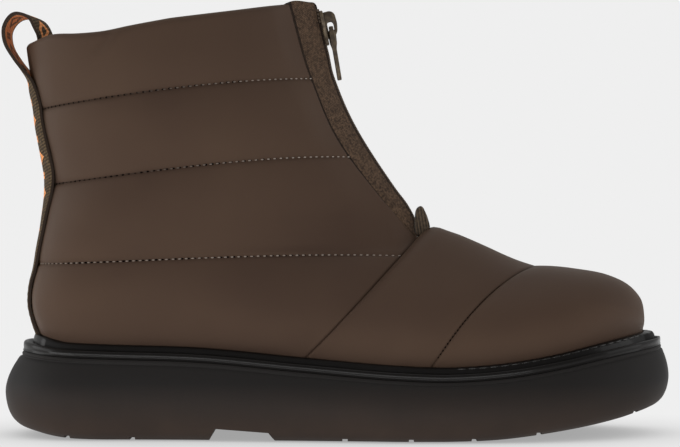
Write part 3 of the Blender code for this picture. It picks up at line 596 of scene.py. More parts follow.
# %% [markdown]
# Now the two nets are joined along the main seam into one skin, and tucked down behind the welt. A copy
# of it, one wall inside, is the lining. The two are joined at the collar, the throat and underneath, so
# the upper is a real hollow wall. The top of the inside is faced with the shell cloth, as a maker turns
# it over the collar.

# %% Helpers for meshes
def grid_faces(index, ring=False):
    """Four-sided faces between rows and columns of an index table. A ring's last row meets its first."""
    after = np.roll(index, -1, 0) if ring else index[1:]
    index = index if ring else index[:-1]
    return np.stack([index[:, :-1], index[:, 1:], after[:, 1:], after[:, :-1]], -1).reshape(-1, 4)


def in_scene(name, data):
    """A new object in the scene, with a mesh, curve, light or lens as its data."""
    thing = bpy.data.objects.new(name, data)
    bpy.context.scene.collection.objects.link(thing)
    return thing


def turn_outwards(mesh):
    work = bmesh.new()
    work.from_mesh(mesh)
    bmesh.ops.recalc_face_normals(work, faces=work.faces)
    work.to_mesh(mesh)
    work.free()


def make_piece(name, points, faces, finishes, maps=None, kinds=None, masks=None, sharp=40):
    """A mesh object from points in millimetres. maps are the cloth's own places at each face's corners."""
    mesh = bpy.data.meshes.new(name)
    mesh.from_pydata(np.asarray(points) * MM, [], [tuple(int(i) for i in face) for face in faces])
    for material in finishes:
        mesh.materials.append(material)
    if kinds is not None:
        mesh.polygons.foreach_set("material_index", np.asarray(kinds, np.int32))
    if maps is not None:
        corners = np.concatenate(maps).astype(np.float32)
        mesh.uv_layers.new(name="cloth").data.foreach_set("uv", corners.ravel())
    if masks is not None:
        mesh.attributes.new("seam", "FLOAT", "POINT").data.foreach_set("value", masks.astype(np.float32))
    turn_outwards(mesh)
    mesh.shade_smooth()
    mesh.set_sharp_from_angle(angle=math.radians(sharp))
    return in_scene(name, mesh)


def wear(piece, node, body="boot"):
    """The piece stands for a solid of the frame, hides that solid and moves with its body."""
    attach(piece, body)
    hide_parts(node)
    print(f"{piece.name}: {len(piece.data.polygons)} faces for {node}")


def trim(piece, body="boot"):
    """The piece is small trim that moves with its body and hides nothing."""
    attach(piece, body)
    print(f"{piece.name}: {len(piece.data.polygons)} faces of trim")


def normals_of(points, faces):
    """Outward directions at the points of an open skin."""
    mesh = bpy.data.meshes.new("normals")
    mesh.from_pydata(points, [], [tuple(int(i) for i in face) for face in faces])
    turn_outwards(mesh)
    found = np.empty(len(points) * 3, np.float32)
    mesh.vertex_normals.foreach_get("vector", found)
    bpy.data.meshes.remove(mesh)
    return found.reshape(-1, 3).astype(float)


# %% The padded upper
FACING = 14.0  # how far the shell cloth is turned in at the collar

quarter_index = np.arange(quarter_lift.size).reshape(quarter_lift.shape)
fresh = np.ones(forefoot_lift[:-1].shape, bool)
fresh[0, :low_rows] = fresh[0, -low_rows:] = False
forefoot_index = np.empty(fresh.shape, int)
forefoot_index[0, :low_rows] = quarter_index[:low_rows, 0]
forefoot_index[0, -low_rows:] = quarter_index[:low_rows, -1][::-1]
forefoot_index[fresh] = quarter_index.size + np.arange(fresh.sum())
tip = quarter_index.size + int(fresh.sum())
rim = np.concatenate([[tip], forefoot_index[1:, 0][::-1], quarter_index[0], forefoot_index[1:, -1]])


def joined(on_quarter_net, on_forefoot_net, at_tip):
    """Values of both nets as one list, in the order of the skin's points."""
    first = on_quarter_net.reshape(quarter_index.size, -1)
    second = on_forefoot_net[:-1][fresh].reshape(int(fresh.sum()), -1)
    return np.concatenate([first, second, np.reshape(at_tip, (1, -1))])


skin = joined(quarter, forefoot, forefoot[-1, 0])
tuck_line = skin[rim].copy()
tuck_line[:, 2] = smooth(SOLE_LINES, tuck_line[:, 0]).top + GAP
tuck = len(skin) + np.arange(len(rim))
skin = np.vstack([skin, tuck_line])
none = np.zeros(len(rim))
lift = np.append(joined(quarter_lift, forefoot_lift, 0.0).ravel(), none)
roll = np.append(joined(quarter_roll, forefoot_roll, 0.0).ravel(), none)
painted_shade_mask = np.append(joined(quarter_painted_shade, forefoot_seam, 0.0).ravel(), none)
facing_rows = to_collar.mean(1) <= FACING
quarter_facing = np.broadcast_to(facing_rows[:, None], quarter_lift.shape).astype(float)
faced = np.append(joined(quarter_facing, np.zeros_like(forefoot_lift), 0.0).ravel(), none)

quarter_map = np.stack([quarter_along, quarter_up], -1)
forefoot_map = np.stack([runs(forefoot, 1), forefoot_run], -1)[:-1]
maps_at = np.vstack([quarter_map.reshape(-1, 2), np.zeros((len(skin) - quarter_index.size, 2))])
quarter_faces, forefoot_faces = grid_faces(quarter_index), grid_faces(forefoot_index)
tip_faces = [(a, b, tip) for a, b in zip(forefoot_index[-1], forefoot_index[-1, 1:])]
tuck_faces = grid_faces(np.stack([np.append(rim, rim[0]), np.append(tuck, tuck[0])], 1))
flat_index = np.arange(forefoot_index.size).reshape(forefoot_index.shape)
forefoot_corners = forefoot_map.reshape(-1, 2)[grid_faces(flat_index)]
face_maps = list(maps_at[quarter_faces]) + list(forefoot_corners)
face_maps += [np.zeros((3, 2))] * len(tip_faces) + [np.zeros((4, 2))] * len(tuck_faces)
skin_faces = [*quarter_faces, *forefoot_faces, *tip_faces, *tuck_faces]
out = normals_of(skin, skin_faces)
out *= -np.sign(out[quarter_index[PANEL_ROWS, len(places) - 1], 0])


def upper_shell():
    count = len(skin)
    outside = skin + out * (lift - roll)[:, None]
    inside = skin - out * (WALL - roll)[:, None]
    uses = {}
    for face in skin_faces:
        for a, b in zip(face, np.roll(face, -1)):
            uses.setdefault(frozenset((int(a), int(b))), []).append((int(a), int(b)))
    edges = [pairs[0] for pairs in uses.values() if len(pairs) == 1]
    rims = [(b, a, a + count, b + count) for a, b in edges]
    lining_faces = [tuple(int(i) + count for i in reversed(face)) for face in skin_faces]
    lined = [int(faced[list(face)].min() == 0) for face in skin_faces]
    kinds = [0] * len(skin_faces) + lined + [0] * len(rims)
    maps = face_maps + [corners[::-1] for corners in face_maps] + [np.zeros((4, 2))] * len(rims)
    faces = [*skin_faces, *lining_faces, *rims]
    masks = np.append(painted_shade_mask, np.zeros(count))
    points = np.vstack([outside, inside])
    cloths = [shell_cloth, lining_cloth]
    return make_piece("upper_shell", points, faces, cloths, maps, kinds, masks, sharp=60)


upper = upper_shell()
wear(upper, "upper")

# %% [markdown]
# Stitches are one small shape repeated along a path, which is work for Geometry Nodes. The tree takes a
# path drawn on the cloth, puts a point at every pitch, and stands a copy of the shape on each, turned
# along the path and out of the cloth. Its sizes are named inputs, so thread, needle holes and zip teeth
# all come from it.

# %% A tree that sews along a path
def sewing_tree():
    tree = bpy.data.node_groups.new("sewn_row", "GeometryNodeTree")
    kinds = {"Path": "Geometry", "Pitch": "Float", "Shape": "Object", "Size": "Vector"}
    names = {}
    for label, kind in {**kinds, "Finish": "Material"}.items():
        socket = tree.interface.new_socket(label, in_out="INPUT", socket_type="NodeSocket" + kind)
        names[label] = socket.identifier
    tree.interface.new_socket("Row", in_out="OUTPUT", socket_type="NodeSocketGeometry")
    given = tree.nodes.new("NodeGroupInput").outputs
    curve = add(tree, "GeometryNodeMeshToCurve", mesh=given["Path"]).outputs[0]
    by_length, as_vector = {"mode": "LENGTH"}, {"data_type": "FLOAT_VECTOR"}
    spacing = add(tree, "GeometryNodeResampleCurve", by_length, curve=curve, length=given["Pitch"])
    off_cloth = add(tree, "GeometryNodeInputNamedAttribute", as_vector, name="out").outputs[0]
    ahead = tree.nodes.new("GeometryNodeInputTangent").outputs[0]
    axes = {"primary_axis": "X", "secondary_axis": "Z"}
    turn = add(tree, "FunctionNodeAxesToRotation", axes, primary_axis=ahead, secondary_axis=off_cloth)
    shape = add(tree, "GeometryNodeObjectInfo", object=given["Shape"]).outputs["Geometry"]
    placed = add(tree, "GeometryNodeInstanceOnPoints", points=spacing.outputs[0], instance=shape)
    feed(tree, placed.inputs["Rotation"], turn.outputs[0])
    feed(tree, placed.inputs["Scale"], given["Size"])
    real = add(tree, "GeometryNodeRealizeInstances", geometry=placed.outputs[0]).outputs[0]
    done = add(tree, "GeometryNodeSetMaterial", geometry=real, material=given["Finish"]).outputs[0]
    tree.links.new(done, tree.nodes.new("NodeGroupOutput").inputs[0])
    return tree, names


def settle(piece):
    """Makes the evaluated shape of a piece its plain mesh, with no modifier left."""
    shaped = bpy.data.meshes.new_from_object(piece.evaluated_get(bpy.context.evaluated_depsgraph_get()))
    piece.modifiers.clear()
    piece.data = shaped
    shaped.name = piece.name
    return piece


def small_shape(name, build):
    """A pattern piece, one unit long, that the tree copies."""
    work = bmesh.new()
    build(work)
    mesh = bpy.data.meshes.new(name)
    work.to_mesh(mesh)
    work.free()
    mesh.shade_smooth()
    return in_scene(name, mesh)


def build_bead(work):
    bmesh.ops.create_uvsphere(work, u_segments=8, v_segments=6, radius=0.5)


def build_block(work):
    bmesh.ops.create_cube(work, size=1.0)
    bmesh.ops.bevel(work, geom=work.edges, offset=0.16, segments=2, affect="EDGES", profile=0.6)


sewing, sewing_names = sewing_tree()
bead, block = small_shape("bead", build_bead), small_shape("block", build_block)


def sewn(name, chains, pitch, size, shape, finish, closed=False):
    """Copies of a small shape along paths. A chain is a path's points and directions out of the cloth."""
    mesh = bpy.data.meshes.new(name)
    edges, first = [], 0
    for line, _ in chains:
        last = first + len(line) - 1
        edges += [(i, i + 1) for i in range(first, last)] + [(last, first)] * closed
        first = last + 1
    mesh.from_pydata(np.vstack([line for line, _ in chains]) * MM, edges, [])
    directions = np.vstack([direction for _, direction in chains]).astype(np.float32)
    mesh.attributes.new("out", "FLOAT_VECTOR", "POINT").data.foreach_set("vector", directions.ravel())
    piece = in_scene(name, mesh)
    modifier = piece.modifiers.new("sewing", "NODES")
    modifier.node_group = sewing
    modifier[sewing_names["Pitch"]] = pitch * MM
    modifier[sewing_names["Shape"]] = shape
    modifier[sewing_names["Size"]] = [s * MM for s in size]
    modifier[sewing_names["Finish"]] = finish
    return settle(piece)


# %% [markdown]
# Three quilting lines cross each quarter. Their thread is pale near the zip, and towards the heel its
# colour is darkened with painted shade. Between two stitches the needle left a hole, and a near-black bead
# paints the shade in it. Both follow the same path, the holes half a pitch further on.

# %% Quilting thread
QUILT_PITCH = 2.7
THREAD_SIZE, HOLE_SIZE = (1.3, 0.6, 0.5), (1.3, 1.05, 0.4)
THREAD_PALE, THREAD_LOW_PAINTED_SHADE, THREAD_PAINTED_SHADE = rgb("a0948a"), rgb("8a7e74"), rgb("43362e")
THREAD_FROM, THREAD_TO = -0.085, -0.012  # X over which the thread comes out of its painted shade, in metres
WEBBING_EDGE = 0.105  # place on a loop where the heel webbing ends
TOE_STITCH_ANGLES, TOE_STITCH_PITCH, TOE_STITCH = (4.0, 50.0), 1.7, (0.9, 0.9, 0.6)  # low on the toe seam
THREAD_LIFT, HOLE_LIFT, TOE_STITCH_LIFT = 0.2, 0.04, 0.1  # above the floor of the valley
QUILT_END = 1 - 0.5 / 120  # place on a loop where the thread ends, just before the throat
PATH_POINTS, TOE_POINTS = 260, 60


def thread_finish(name, near_zip, painted_shade_at_heel):
    material, tree, shader = new_finish(name, roughness=0.8, specular_ior_level=0.1)
    place = object_place(tree)
    x = add(tree, "ShaderNodeSeparateXYZ", vector=place).outputs[0]
    # Painted shade: the thread's colour darkens from the zip towards the heel.
    share = spread(tree, x, THREAD_FROM, THREAD_TO)
    feed(tree, shader.inputs["Base Color"], blend(tree, share, painted_shade_at_heel, near_zip))
    relief(tree, shader, mottle(tree, place, 4000.0), 0.05, 0.6)
    return material


def quilt_path(level, side, lift, skip=0.0):
    """One quilting line on one side, from the webbing to the front, starting skip millimetres on."""
    place = np.linspace(WEBBING_EDGE, QUILT_END, PATH_POINTS)
    line, direction = on_quarter(np.full_like(place, level), place, side, lift)
    keep = runs(line, 0) >= skip
    return line[keep], direction[keep]


quilt_thread = thread_finish("quilting_thread", THREAD_PALE, THREAD_PAINTED_SHADE)
low_thread = thread_finish("low_quilting_thread", THREAD_PALE, THREAD_LOW_PAINTED_SHADE)
# Painted shade: a near-black finish stands for the shade inside each needle hole. The low toe stitches wear
# it too.
painted_hole_shade = new_finish("needle_holes", base_color=rgb("0d0908"), roughness=0.9, specular_ior_level=0.0)[0]
quilt_rows = (("low_stitches", LINES[:1], low_thread), ("high_stitches", LINES[1:], quilt_thread))
holes = []
for name, chosen, thread in quilt_rows:
    lines = [(level, side) for level in chosen for side in (-1, 1)]
    stitches = [quilt_path(level, side, THREAD_LIFT - QUILT_DIP) for level, side in lines]
    holes += [quilt_path(level, side, HOLE_LIFT - QUILT_DIP, QUILT_PITCH / 2) for level, side in lines]
    trim(sewn(name, stitches, QUILT_PITCH, THREAD_SIZE, bead, thread))
trim(sewn("needle_holes", holes, QUILT_PITCH, HOLE_SIZE, bead, painted_hole_shade))
toe_angles = np.radians(np.linspace(*TOE_STITCH_ANGLES, TOE_POINTS))
toe_paths = [on_forefoot(1.0, toe_angles, side, TOE_STITCH_LIFT - SEAM_DIP) for side in (-1, 1)]
trim(sewn("toe_stitches", toe_paths, TOE_STITCH_PITCH, TOE_STITCH, bead, painted_hole_shade))

# %% [markdown]
# The sole is one thick moulded unit. Its side bulges like a tyre, tucks in at the tread and again under
# the welt. Rings around the foot, each a little further in or out, give that form better than a swept
# curve would, because the bulge grows behind the heel. Every ring is the feather line, where upper and
# welt meet, moved sideways.

# %% The line around the foot
OUTLINE_STEP, OUTLINE_FINE = 2.0, 200  # its steps in millimetres, and points that it is drawn from


def feather_line():
    """Closed line around the foot in equal steps, from the tip of the toe down the outer side and back."""
    fore, back = np.linspace(2, 0, OUTLINE_FINE), np.linspace(1, 0, OUTLINE_FINE)
    halves = {s: np.vstack([arch_point(fore, 0.0, s), loop_point(0.0, back, s)[1:]]) for s in (-1, 1)}
    line = np.vstack([halves[-1], halves[1][-2::-1]])
    run = runs(line, 0)
    at = np.linspace(0, run[-1], int(run[-1] / OUTLINE_STEP), endpoint=False)
    return np.stack([np.interp(at, run, line[:, k]) for k in range(3)], -1)


outline = feather_line()
outline_run = unit((np.roll(outline, -3, 0) - np.roll(outline, 3, 0))[:, :2])
outline_away = np.stack([outline_run[:, 1], -outline_run[:, 0]], -1)
outline_away *= np.sign((outline_away * (outline[:, :2] - outline[:, :2].mean(0))).sum())


def ring(out, height):
    """The line around the foot, moved out, at the given heights."""
    plan = outline[:, :2] + outline_away * np.reshape(out, (-1, 1))
    return np.column_stack([plan, np.broadcast_to(height, len(outline))])


def stacked_faces(rings, around):
    """Faces between rings, and across the foot at the first and the last ring."""
    index = np.arange(rings * around).reshape(rings, around)
    faces = list(grid_faces(np.hstack([index, index[:, :1]])))
    for base in (0, (rings - 1) * around):
        for j in range(around // 2):
            corners = (j, j + 1, (around - j - 1) % around, (around - j) % around)
            faces.append(tuple(base + c for c in dict.fromkeys(corners)))
    return faces


print("feather line:", len(outline), "points,", round(float(runs(outline, 0)[-1])), "mm round")

# %% Rubber finishes
RUBBER, RUBBER_PAINTED_BOUNCE, WELT_BLACK = rgb("232120"), rgb("42362f"), rgb("141211")


def sole_finish():
    """Matte moulded rubber, with painted bounce light from the floor that makes it warmer and lighter, in
    cloudy patches, towards the tread.
    """
    material, tree, shader = new_finish("moulded_rubber", specular_ior_level=0.12)
    place = object_place(tree)
    height = add(tree, "ShaderNodeSeparateXYZ", vector=place).outputs[2]
    bounce_patches = sums(tree, "MULTIPLY_ADD", mottle(tree, place, 60.0), 0.6, 0.5)
    # Painted bounce light: below about 24 mm the colour turns warmer and lighter down to the tread.
    painted_bounce = sums(tree, "MULTIPLY", spread(tree, height, 0.024, 0.004), bounce_patches)
    feed(tree, shader.inputs["Base Color"], blend(tree, painted_bounce, RUBBER, RUBBER_PAINTED_BOUNCE))
    cloudy = mottle(tree, place, 25.0)
    feed(tree, shader.inputs["Roughness"], sums(tree, "MULTIPLY_ADD", cloudy, 0.15, 0.5))
    soft = relief(tree, shader, mottle(tree, place, 70.0), 0.25, 0.25)
    relief(tree, shader, mottle(tree, place, 1800.0, 2.0), 0.05, 0.5, soft)
    return material


def welt_finish(name, specular, rough, gloss):
    """Black strip with the slight unevenness of a moulded edge. gloss is the share of lacquer on it."""
    material, tree, shader = new_finish(name, base_color=WELT_BLACK, coat_weight=gloss, coat_roughness=0.12)
    shader.inputs["Specular IOR Level"].default_value = specular
    place = object_place(tree)
    uneven = mottle(tree, place, 45.0)
    feed(tree, shader.inputs["Roughness"], sums(tree, "MULTIPLY_ADD", uneven, 0.25, rough))
    relief(tree, shader, mottle(tree, place, 150.0), 0.2, 0.35)
    return material


rubber = sole_finish()
welt_gloss = welt_finish("glossy_welt", 0.08, 0.25, 0.2)
welt_dull = welt_finish("dull_rand", 0.12, 0.5, 0.0)
print("finishes:", rubber.name, welt_gloss.name, welt_dull.name)

# %% The moulded sole
LEDGE, HEEL_LEDGE, TOE_LEDGE = 6.0, 7.6, 7.5  # from the upper out to the welt's lip
SIDE_BULGE, HEEL_BULGE, TOE_BULGE = 4.1, 7.7, 3.6  # the sole's widest line outside the lip
TOE_FULLER = (100.0, 133.0)  # X between which ledge and bulge change to those of the toe
HEEL_ROUNDER = 0.33  # how much further the lower edge tucks in behind the heel
UPPER_HALF = (0.45, 0.6)  # heights on the side between which its upper half begins
SOLE_SHARP = 35  # degrees from which an edge of the sole is sharp
Side = namedtuple("Side", "height inset")
SOLE_SIDE = (
    Side(0.00, 9.0),
    Side(0.05, 5.4),
    Side(0.12, 3.0),
    Side(0.22, 1.35),
    Side(0.34, 0.4),
    Side(0.48, 0.0),
    Side(0.62, 0.4),
    Side(0.76, 1.4),
    Side(0.90, 2.9),
    Side(1.00, SIDE_BULGE),
)
GROOVES = (-112.0, -84.5, 4.5, 32.0, 58.0, 85.0, 127.5)  # across the tread, between its lugs
GROOVE_WIDE, GROOVE_DEEP = 2.2, 1.2
ARCH_GAP = ((-52.5, -0.5), (-49.6, 5.2), (-27.3, 3.6), (-24.4, -0.5))  # the gap under the waist: x, z
STEP_HEIGHT, STEP_HALF, STEP_DEEP = 0.945, 0.014, 0.5  # fine line moulded under the welt
SIPE_HALF, SIPE_DEEP, SIPE_REACH = 0.6, 0.8, 24.0  # short fine cuts in the lugs
SIPES = (-98.0, -70.0, -62.0, -12.0, -3.5, 13.5, 22.5, 40.5, 49.5, 67.0, 76.0, 96.0, 106.0)
CUT_REACH, CUT_DOWN = 80.0, 8.0  # how far a cutter reaches to each side, and down from its roof
SOLE_ROWS, SOLE_CROWD = 40, 0.7

heel = heel_share(outline[:, 0])
toe = ease(outline[:, 0], *TOE_FULLER)
ledge = LEDGE + (HEEL_LEDGE - LEDGE) * heel + (TOE_LEDGE - LEDGE) * toe
bulge = SIDE_BULGE + (HEEL_BULGE - SIDE_BULGE) * heel + (TOE_BULGE - SIDE_BULGE) * toe
sole_line = smooth(SOLE_LINES, outline[:, 0])
sole_tread = np.maximum(sole_line.tread, 0.0)


def sole_ring(height):
    upper_half = ease(height, *UPPER_HALF)
    inset = smooth(SOLE_SIDE, height).inset + STEP_DEEP * near(height - STEP_HEIGHT, STEP_HALF)
    rounder = HEEL_ROUNDER * heel * (1 - upper_half)
    out = ledge + bulge - inset * (1 + upper_half * (bulge / SIDE_BULGE - 1) + rounder)
    return ring(out, sole_tread + height * (sole_line.top - sole_tread))


def box_cuts(cuts):
    """One mesh of straight cutters across the tread, each an outline from the side and a half length."""
    points, faces = [], []
    for corners, reach in cuts:
        first = len(points)
        points += [(x, -reach, z) for x, z in corners] + [(x, reach, z) for x, z in corners]
        faces += [tuple(first + i for i in range(4)), tuple(first + 7 - i for i in range(4))]
        for i in range(4):
            k = (i + 1) % 4
            faces.append((first + k, first + i, first + 4 + i, first + 4 + k))
    return make_piece("tread_cutter", points, faces, [])


def groove(x, half, deep):
    roof = float(np.maximum(smooth(SOLE_LINES, x).tread, 0)) + deep
    low = roof - CUT_DOWN
    return ((x - half, low), (x - half, roof), (x + half, roof), (x + half, low))


heights = crowded(0, 1, SOLE_ROWS, SOLE_CROWD)
sole_points = np.vstack([sole_ring(h) for h in heights])
sole_faces = stacked_faces(len(heights), len(outline))
sole = make_piece("moulded_sole", sole_points, sole_faces, [rubber], sharp=SOLE_SHARP)
cuts = [(ARCH_GAP, CUT_REACH)] + [(groove(x, GROOVE_WIDE / 2, GROOVE_DEEP), CUT_REACH) for x in GROOVES]
cuts += [(groove(x, SIPE_HALF, SIPE_DEEP), SIPE_REACH) for x in SIPES]
cutter = box_cuts(cuts)
sole.modifiers.new("tread", "BOOLEAN").object = cutter
settle(sole)
sole.data.set_sharp_from_angle(angle=math.radians(SOLE_SHARP))
bpy.data.objects.remove(cutter)
wear(sole, "outsole")

# %% [markdown]
# The welt is a strip around the top of the sole: an inner rand against the cloth, a groove with
# stitches, and an outer lip. Its section is drawn once and carried around the foot. Along the sides the
# slope from the rand down to the groove is dull and only the lip shines. Towards the toe and at the
# heel the slope shines too, and the thread draws it into small waves, which gives the broken glints
# along the toe.

# %% The welt
SEAT = 0.06  # between the strip and the sole
Welt = namedtuple("Welt", "out rise")
WELT_SECTION = (
    Welt(0.06, SEAT),
    Welt(0.06, 5.4),
    Welt(0.16, WELT_RISE),
    Welt(0.33, 5.5),
    Welt(0.43, 4.2),
    Welt(0.50, 2.3),
    Welt(0.66, 2.2),
    Welt(0.72, 3.0),
    Welt(0.84, 3.4),
    Welt(0.96, 3.0),
    Welt(1.00, 2.1),
    Welt(0.99, 0.9),
    Welt(0.96, SEAT),
)
SECTION_STEPS = 3
DULL_SPANS, DULL_ENDS = (0, 3, 4, 5), (0, 5)  # dull spans of the section, along the sides and at both ends
TOE_FROM, TOE_TIP, HEEL_TIP = (40.0, 75.0), (126.0, 133.5), (-127.0, -112.0)  # X between which each begins
TOE_WIDER, HEEL_TALLER = 0.22, 0.3  # shares that the rand gains at the toe's tip and the welt at the heel
WELT_PITCH, WELT_THREAD, WELT_THREAD_LIFT = 5.2, (4.2, 0.9, 0.8), 0.2
GROOVE_OUT, GROOVE_HALF, GROOVE_RISE, GROOVE_WAVE = 0.58, 0.09, 2.35, 0.22  # where the thread pulls it down
RAND_OUT, RAND_HALF, RAND_WAVE = 0.35, 0.2, 0.22
RAND_ROW, RAND_FROM = Welt(0.36, 5.25), 52.0  # place of the second row, and X from which it shows
RAND_PITCH, RAND_THREAD, RAND_TILT = 4.4, (3.9, 0.8, 0.5), 0.4
TOP_SIDE = 1.5  # rise from which a point is on the strip's top side


def loft(name, rows, finishes, closed=False, across=None, kinds=None):
    """A mesh through rows of points, closed around each row. A closed loft's last row meets its first."""
    rows = np.asarray(rows, float)
    count, width = rows.shape[:2]
    index = np.arange(count * width).reshape(count, width)
    faces = list(grid_faces(np.hstack([index, index[:, :1]]), closed))
    maps = None
    if not closed:
        faces += [tuple(index[0]), tuple(index[-1])]
        wrapped = np.concatenate([rows, rows[:, :1]], 1)
        across = runs(wrapped, 1)[count // 2] if across is None else across
        along = runs(rows.mean(1), 0)
        table = np.stack(np.meshgrid(across, along), -1).reshape(-1, 2)
        maps = list(table[grid_faces(np.arange(len(table)).reshape(count, width + 1))])
        maps += [np.zeros((width, 2))] * 2
    return make_piece(name, rows.reshape(-1, 3), faces, finishes, maps, kinds)


welt_section = curve_through(WELT_SECTION, SECTION_STEPS, closed=True)
waves = round(runs(outline, 0)[-1] / WELT_PITCH)
wave = np.sin(2 * math.pi * waves * np.arange(len(outline)) / len(outline))
toe_tip, heel_tip = ease(outline[:, 0], *TOE_TIP), 1 - ease(outline[:, 0], *HEEL_TIP)
at_ends = np.maximum(ease(outline[:, 0], *TOE_FROM), heel_tip)
welt_rings = []
for out_share, rise in welt_section:
    out = out_share + TOE_WIDER * toe_tip * math.sin(math.pi * out_share)
    pulled = GROOVE_WAVE * near(out_share - GROOVE_OUT, GROOVE_HALF)
    pulled = pulled + RAND_WAVE * at_ends * near(out_share - RAND_OUT, RAND_HALF)
    taller = rise * (1 + HEEL_TALLER * heel_tip)
    height = sole_line.top + taller + pulled * wave * (rise > TOP_SIDE)
    welt_rings.append(ring(np.maximum(out * ledge, GAP), height))
welt_kinds = []
for end in at_ends * (1 - toe_tip) > 0.5:
    dull = DULL_ENDS if end else DULL_SPANS
    welt_kinds += [int(i // SECTION_STEPS in dull) for i in range(len(welt_section))]
welt_rows = np.swapaxes(welt_rings, 0, 1)
welt = loft("welt_strip", welt_rows, [welt_gloss, welt_dull], closed=True, kinds=welt_kinds)
wear(welt, "welt")
welt_thread = new_finish("welt_thread", base_color=rgb("1b1817"), roughness=0.45)[0]
groove_path = ring(GROOVE_OUT * ledge, sole_line.top + GROOVE_RISE + WELT_THREAD_LIFT)
upwards = np.tile((0.0, 0.0, 1.0), (len(outline), 1))
groove_rows = [(groove_path, upwards)]
groove_row = sewn("welt_stitches", groove_rows, WELT_PITCH, WELT_THREAD, bead, welt_thread, closed=True)
trim(groove_row)
# At the toe a second row shows, where the rand is sewn close under the cloth.
rand_thread = new_finish("rand_thread", base_color=rgb("1b1817"), roughness=0.22)[0]
rand_path = ring(RAND_ROW.out * ledge, sole_line.top + RAND_ROW.rise)
rand_away = unit(np.column_stack([outline_away, np.full(len(outline), RAND_TILT)]))
half = len(outline) // 2
rand_rows = []
for part in (slice(0, half), slice(half, None)):
    shows = outline[part, 0] > RAND_FROM
    rand_rows.append((rand_path[part][shows], rand_away[part][shows]))
trim(sewn("rand_stitches", rand_rows, RAND_PITCH, RAND_THREAD, bead, rand_thread))

# %% [markdown]
# The footbed lies inside. Only its heel end shows, from above, but it is finished as the rest: a
# rounded edge and a brushed top.

# %% The footbed
INSOLE_ROOM = 0.5  # between its edge and the wall
FOOTBED = ((0.0, 0.0), (0.2, 3.0), (0.8, 3.7), (2.0, 4.0), (6.0, 4.1), (9.0, 4.1))  # inwards, up


def footbed_finish():
    material, tree, shader = new_finish("brushed_footbed", roughness=0.95, sheen_weight=0.3)
    place = object_place(tree)
    nap = mottle(tree, place, 700.0, 4.0)
    feed(tree, shader.inputs["Base Color"], blend(tree, nap, rgb("2f2722"), rgb("4b3f36")))
    relief(tree, shader, nap, 0.3, 0.7)
    return material


footbed_rings = [ring(-(WALL + INSOLE_ROOM + d), sole_line.top + GAP + up) for d, up in FOOTBED]
footbed_faces = stacked_faces(len(FOOTBED), len(outline))
footbed = make_piece("footbed", np.vstack(footbed_rings), footbed_faces, [footbed_finish()])
wear(footbed, "insole")

# %% [markdown]
# The zip closes the throat: two twill tapes, sewn under the edges of the quarters, and the row of teeth
# between them. A tape could be a flat strip, but it follows the throat's bend, so each of its rows runs
# from the edge of the quarter to the chain. It reaches a little way under the quarter, and no slit is
# left between them.

# %% Twill finish
def twill_finish(name, dark, light, pitch, depth, shadow_bands):
    """Diagonal ribs on the cloth's own map, with flecks of lighter yarn, and painted shadow outside two
    places across.
    """
    material, tree, shader = new_finish(name, roughness=0.85, sheen_weight=0.05, specular_ior_level=0.15)
    across, along = cloth_place(tree)
    ribs = ridges(tree, sums(tree, "MULTIPLY_ADD", along, 1.0, across), pitch)
    yarns = ridges(tree, sums(tree, "MULTIPLY_ADD", along, -0.6, across), pitch * 0.7)
    fleck = spread(tree, mottle(tree, object_place(tree), 1100.0, 1.0), 0.37, 0.68)
    blotch = spread(tree, mottle(tree, object_place(tree), 420.0, 2.0), 0.35, 0.65)
    spots = sums(tree, "MULTIPLY_ADD", fleck, 0.65, sums(tree, "MULTIPLY", blotch, 0.2))
    colour = blend(tree, sums(tree, "MULTIPLY_ADD", ribs, 0.3, spots), dark, light)
    # Painted shadow: the tape is darkened under the quarter's edge and beside the teeth.
    before, after = sums(tree, "LESS_THAN", across, shadow_bands[0]), sums(tree, "GREATER_THAN", across, shadow_bands[1])
    shade = sums(tree, "MULTIPLY", sums(tree, "MAXIMUM", before, after), 0.85)
    feed(tree, shader.inputs["Base Color"], blend(tree, shade, colour, PAINTED_SHADE))
    relief(tree, shader, sums(tree, "MULTIPLY_ADD", yarns, 0.4, ribs), depth, 0.9)
    return material


# %% Zip tapes
CHAIN_HALF, CHAIN_DEPTH = 2.5, 2.4
TAPE_THICK, TAPE_RECESS, TAPE_SUNK, TAPE_TUCK, TAPE_CROWN = 1.2, 0.8, 0.75, 1.8, 0.35
TAPE_ROUND = 2.2  # radius of its top corner beside the chain
TAPE_TOP = 1.0  # how far its top edge bows up
TAPE_ROWS, TAPE_TOP_ROWS, TAPE_COLUMNS = 90, 12, 13
TAPE_WIDE = 12.0  # its width on the cloth's map
ZIP_SWELL, SWELL_LEVELS = 0.9, (2.95, 3.3)  # the zip stands further out where the slider spreads it
SEAM_SHADOW_BAND, TEETH_SHADOW_BAND = TAPE_TUCK + 0.3, TAPE_WIDE - 0.9  # painted shadow lines at the quarter's edge and beside the teeth
TAPE_TO, TAPE_TOP_FROM = COLLAR - 0.08, COLLAR - 0.07  # where even rows end and close ones begin


def chain_path(level, y=0.0, out=0.0, swelled=0.0):
    """Points along the zip, moved sideways and out, and the direction out of it. Its top part may swell."""
    here = smooth(CHAINS, level)
    line = np.stack([here.x, np.zeros_like(level), here.z], -1)
    run = unit(np.gradient(line, axis=0))
    facing = np.stack([run[:, 2], np.zeros_like(level), -run[:, 0]], -1)
    off = out + swelled * ease(level, *SWELL_LEVELS)
    return line + facing * off[:, None] + np.array((0, y, 0)), facing


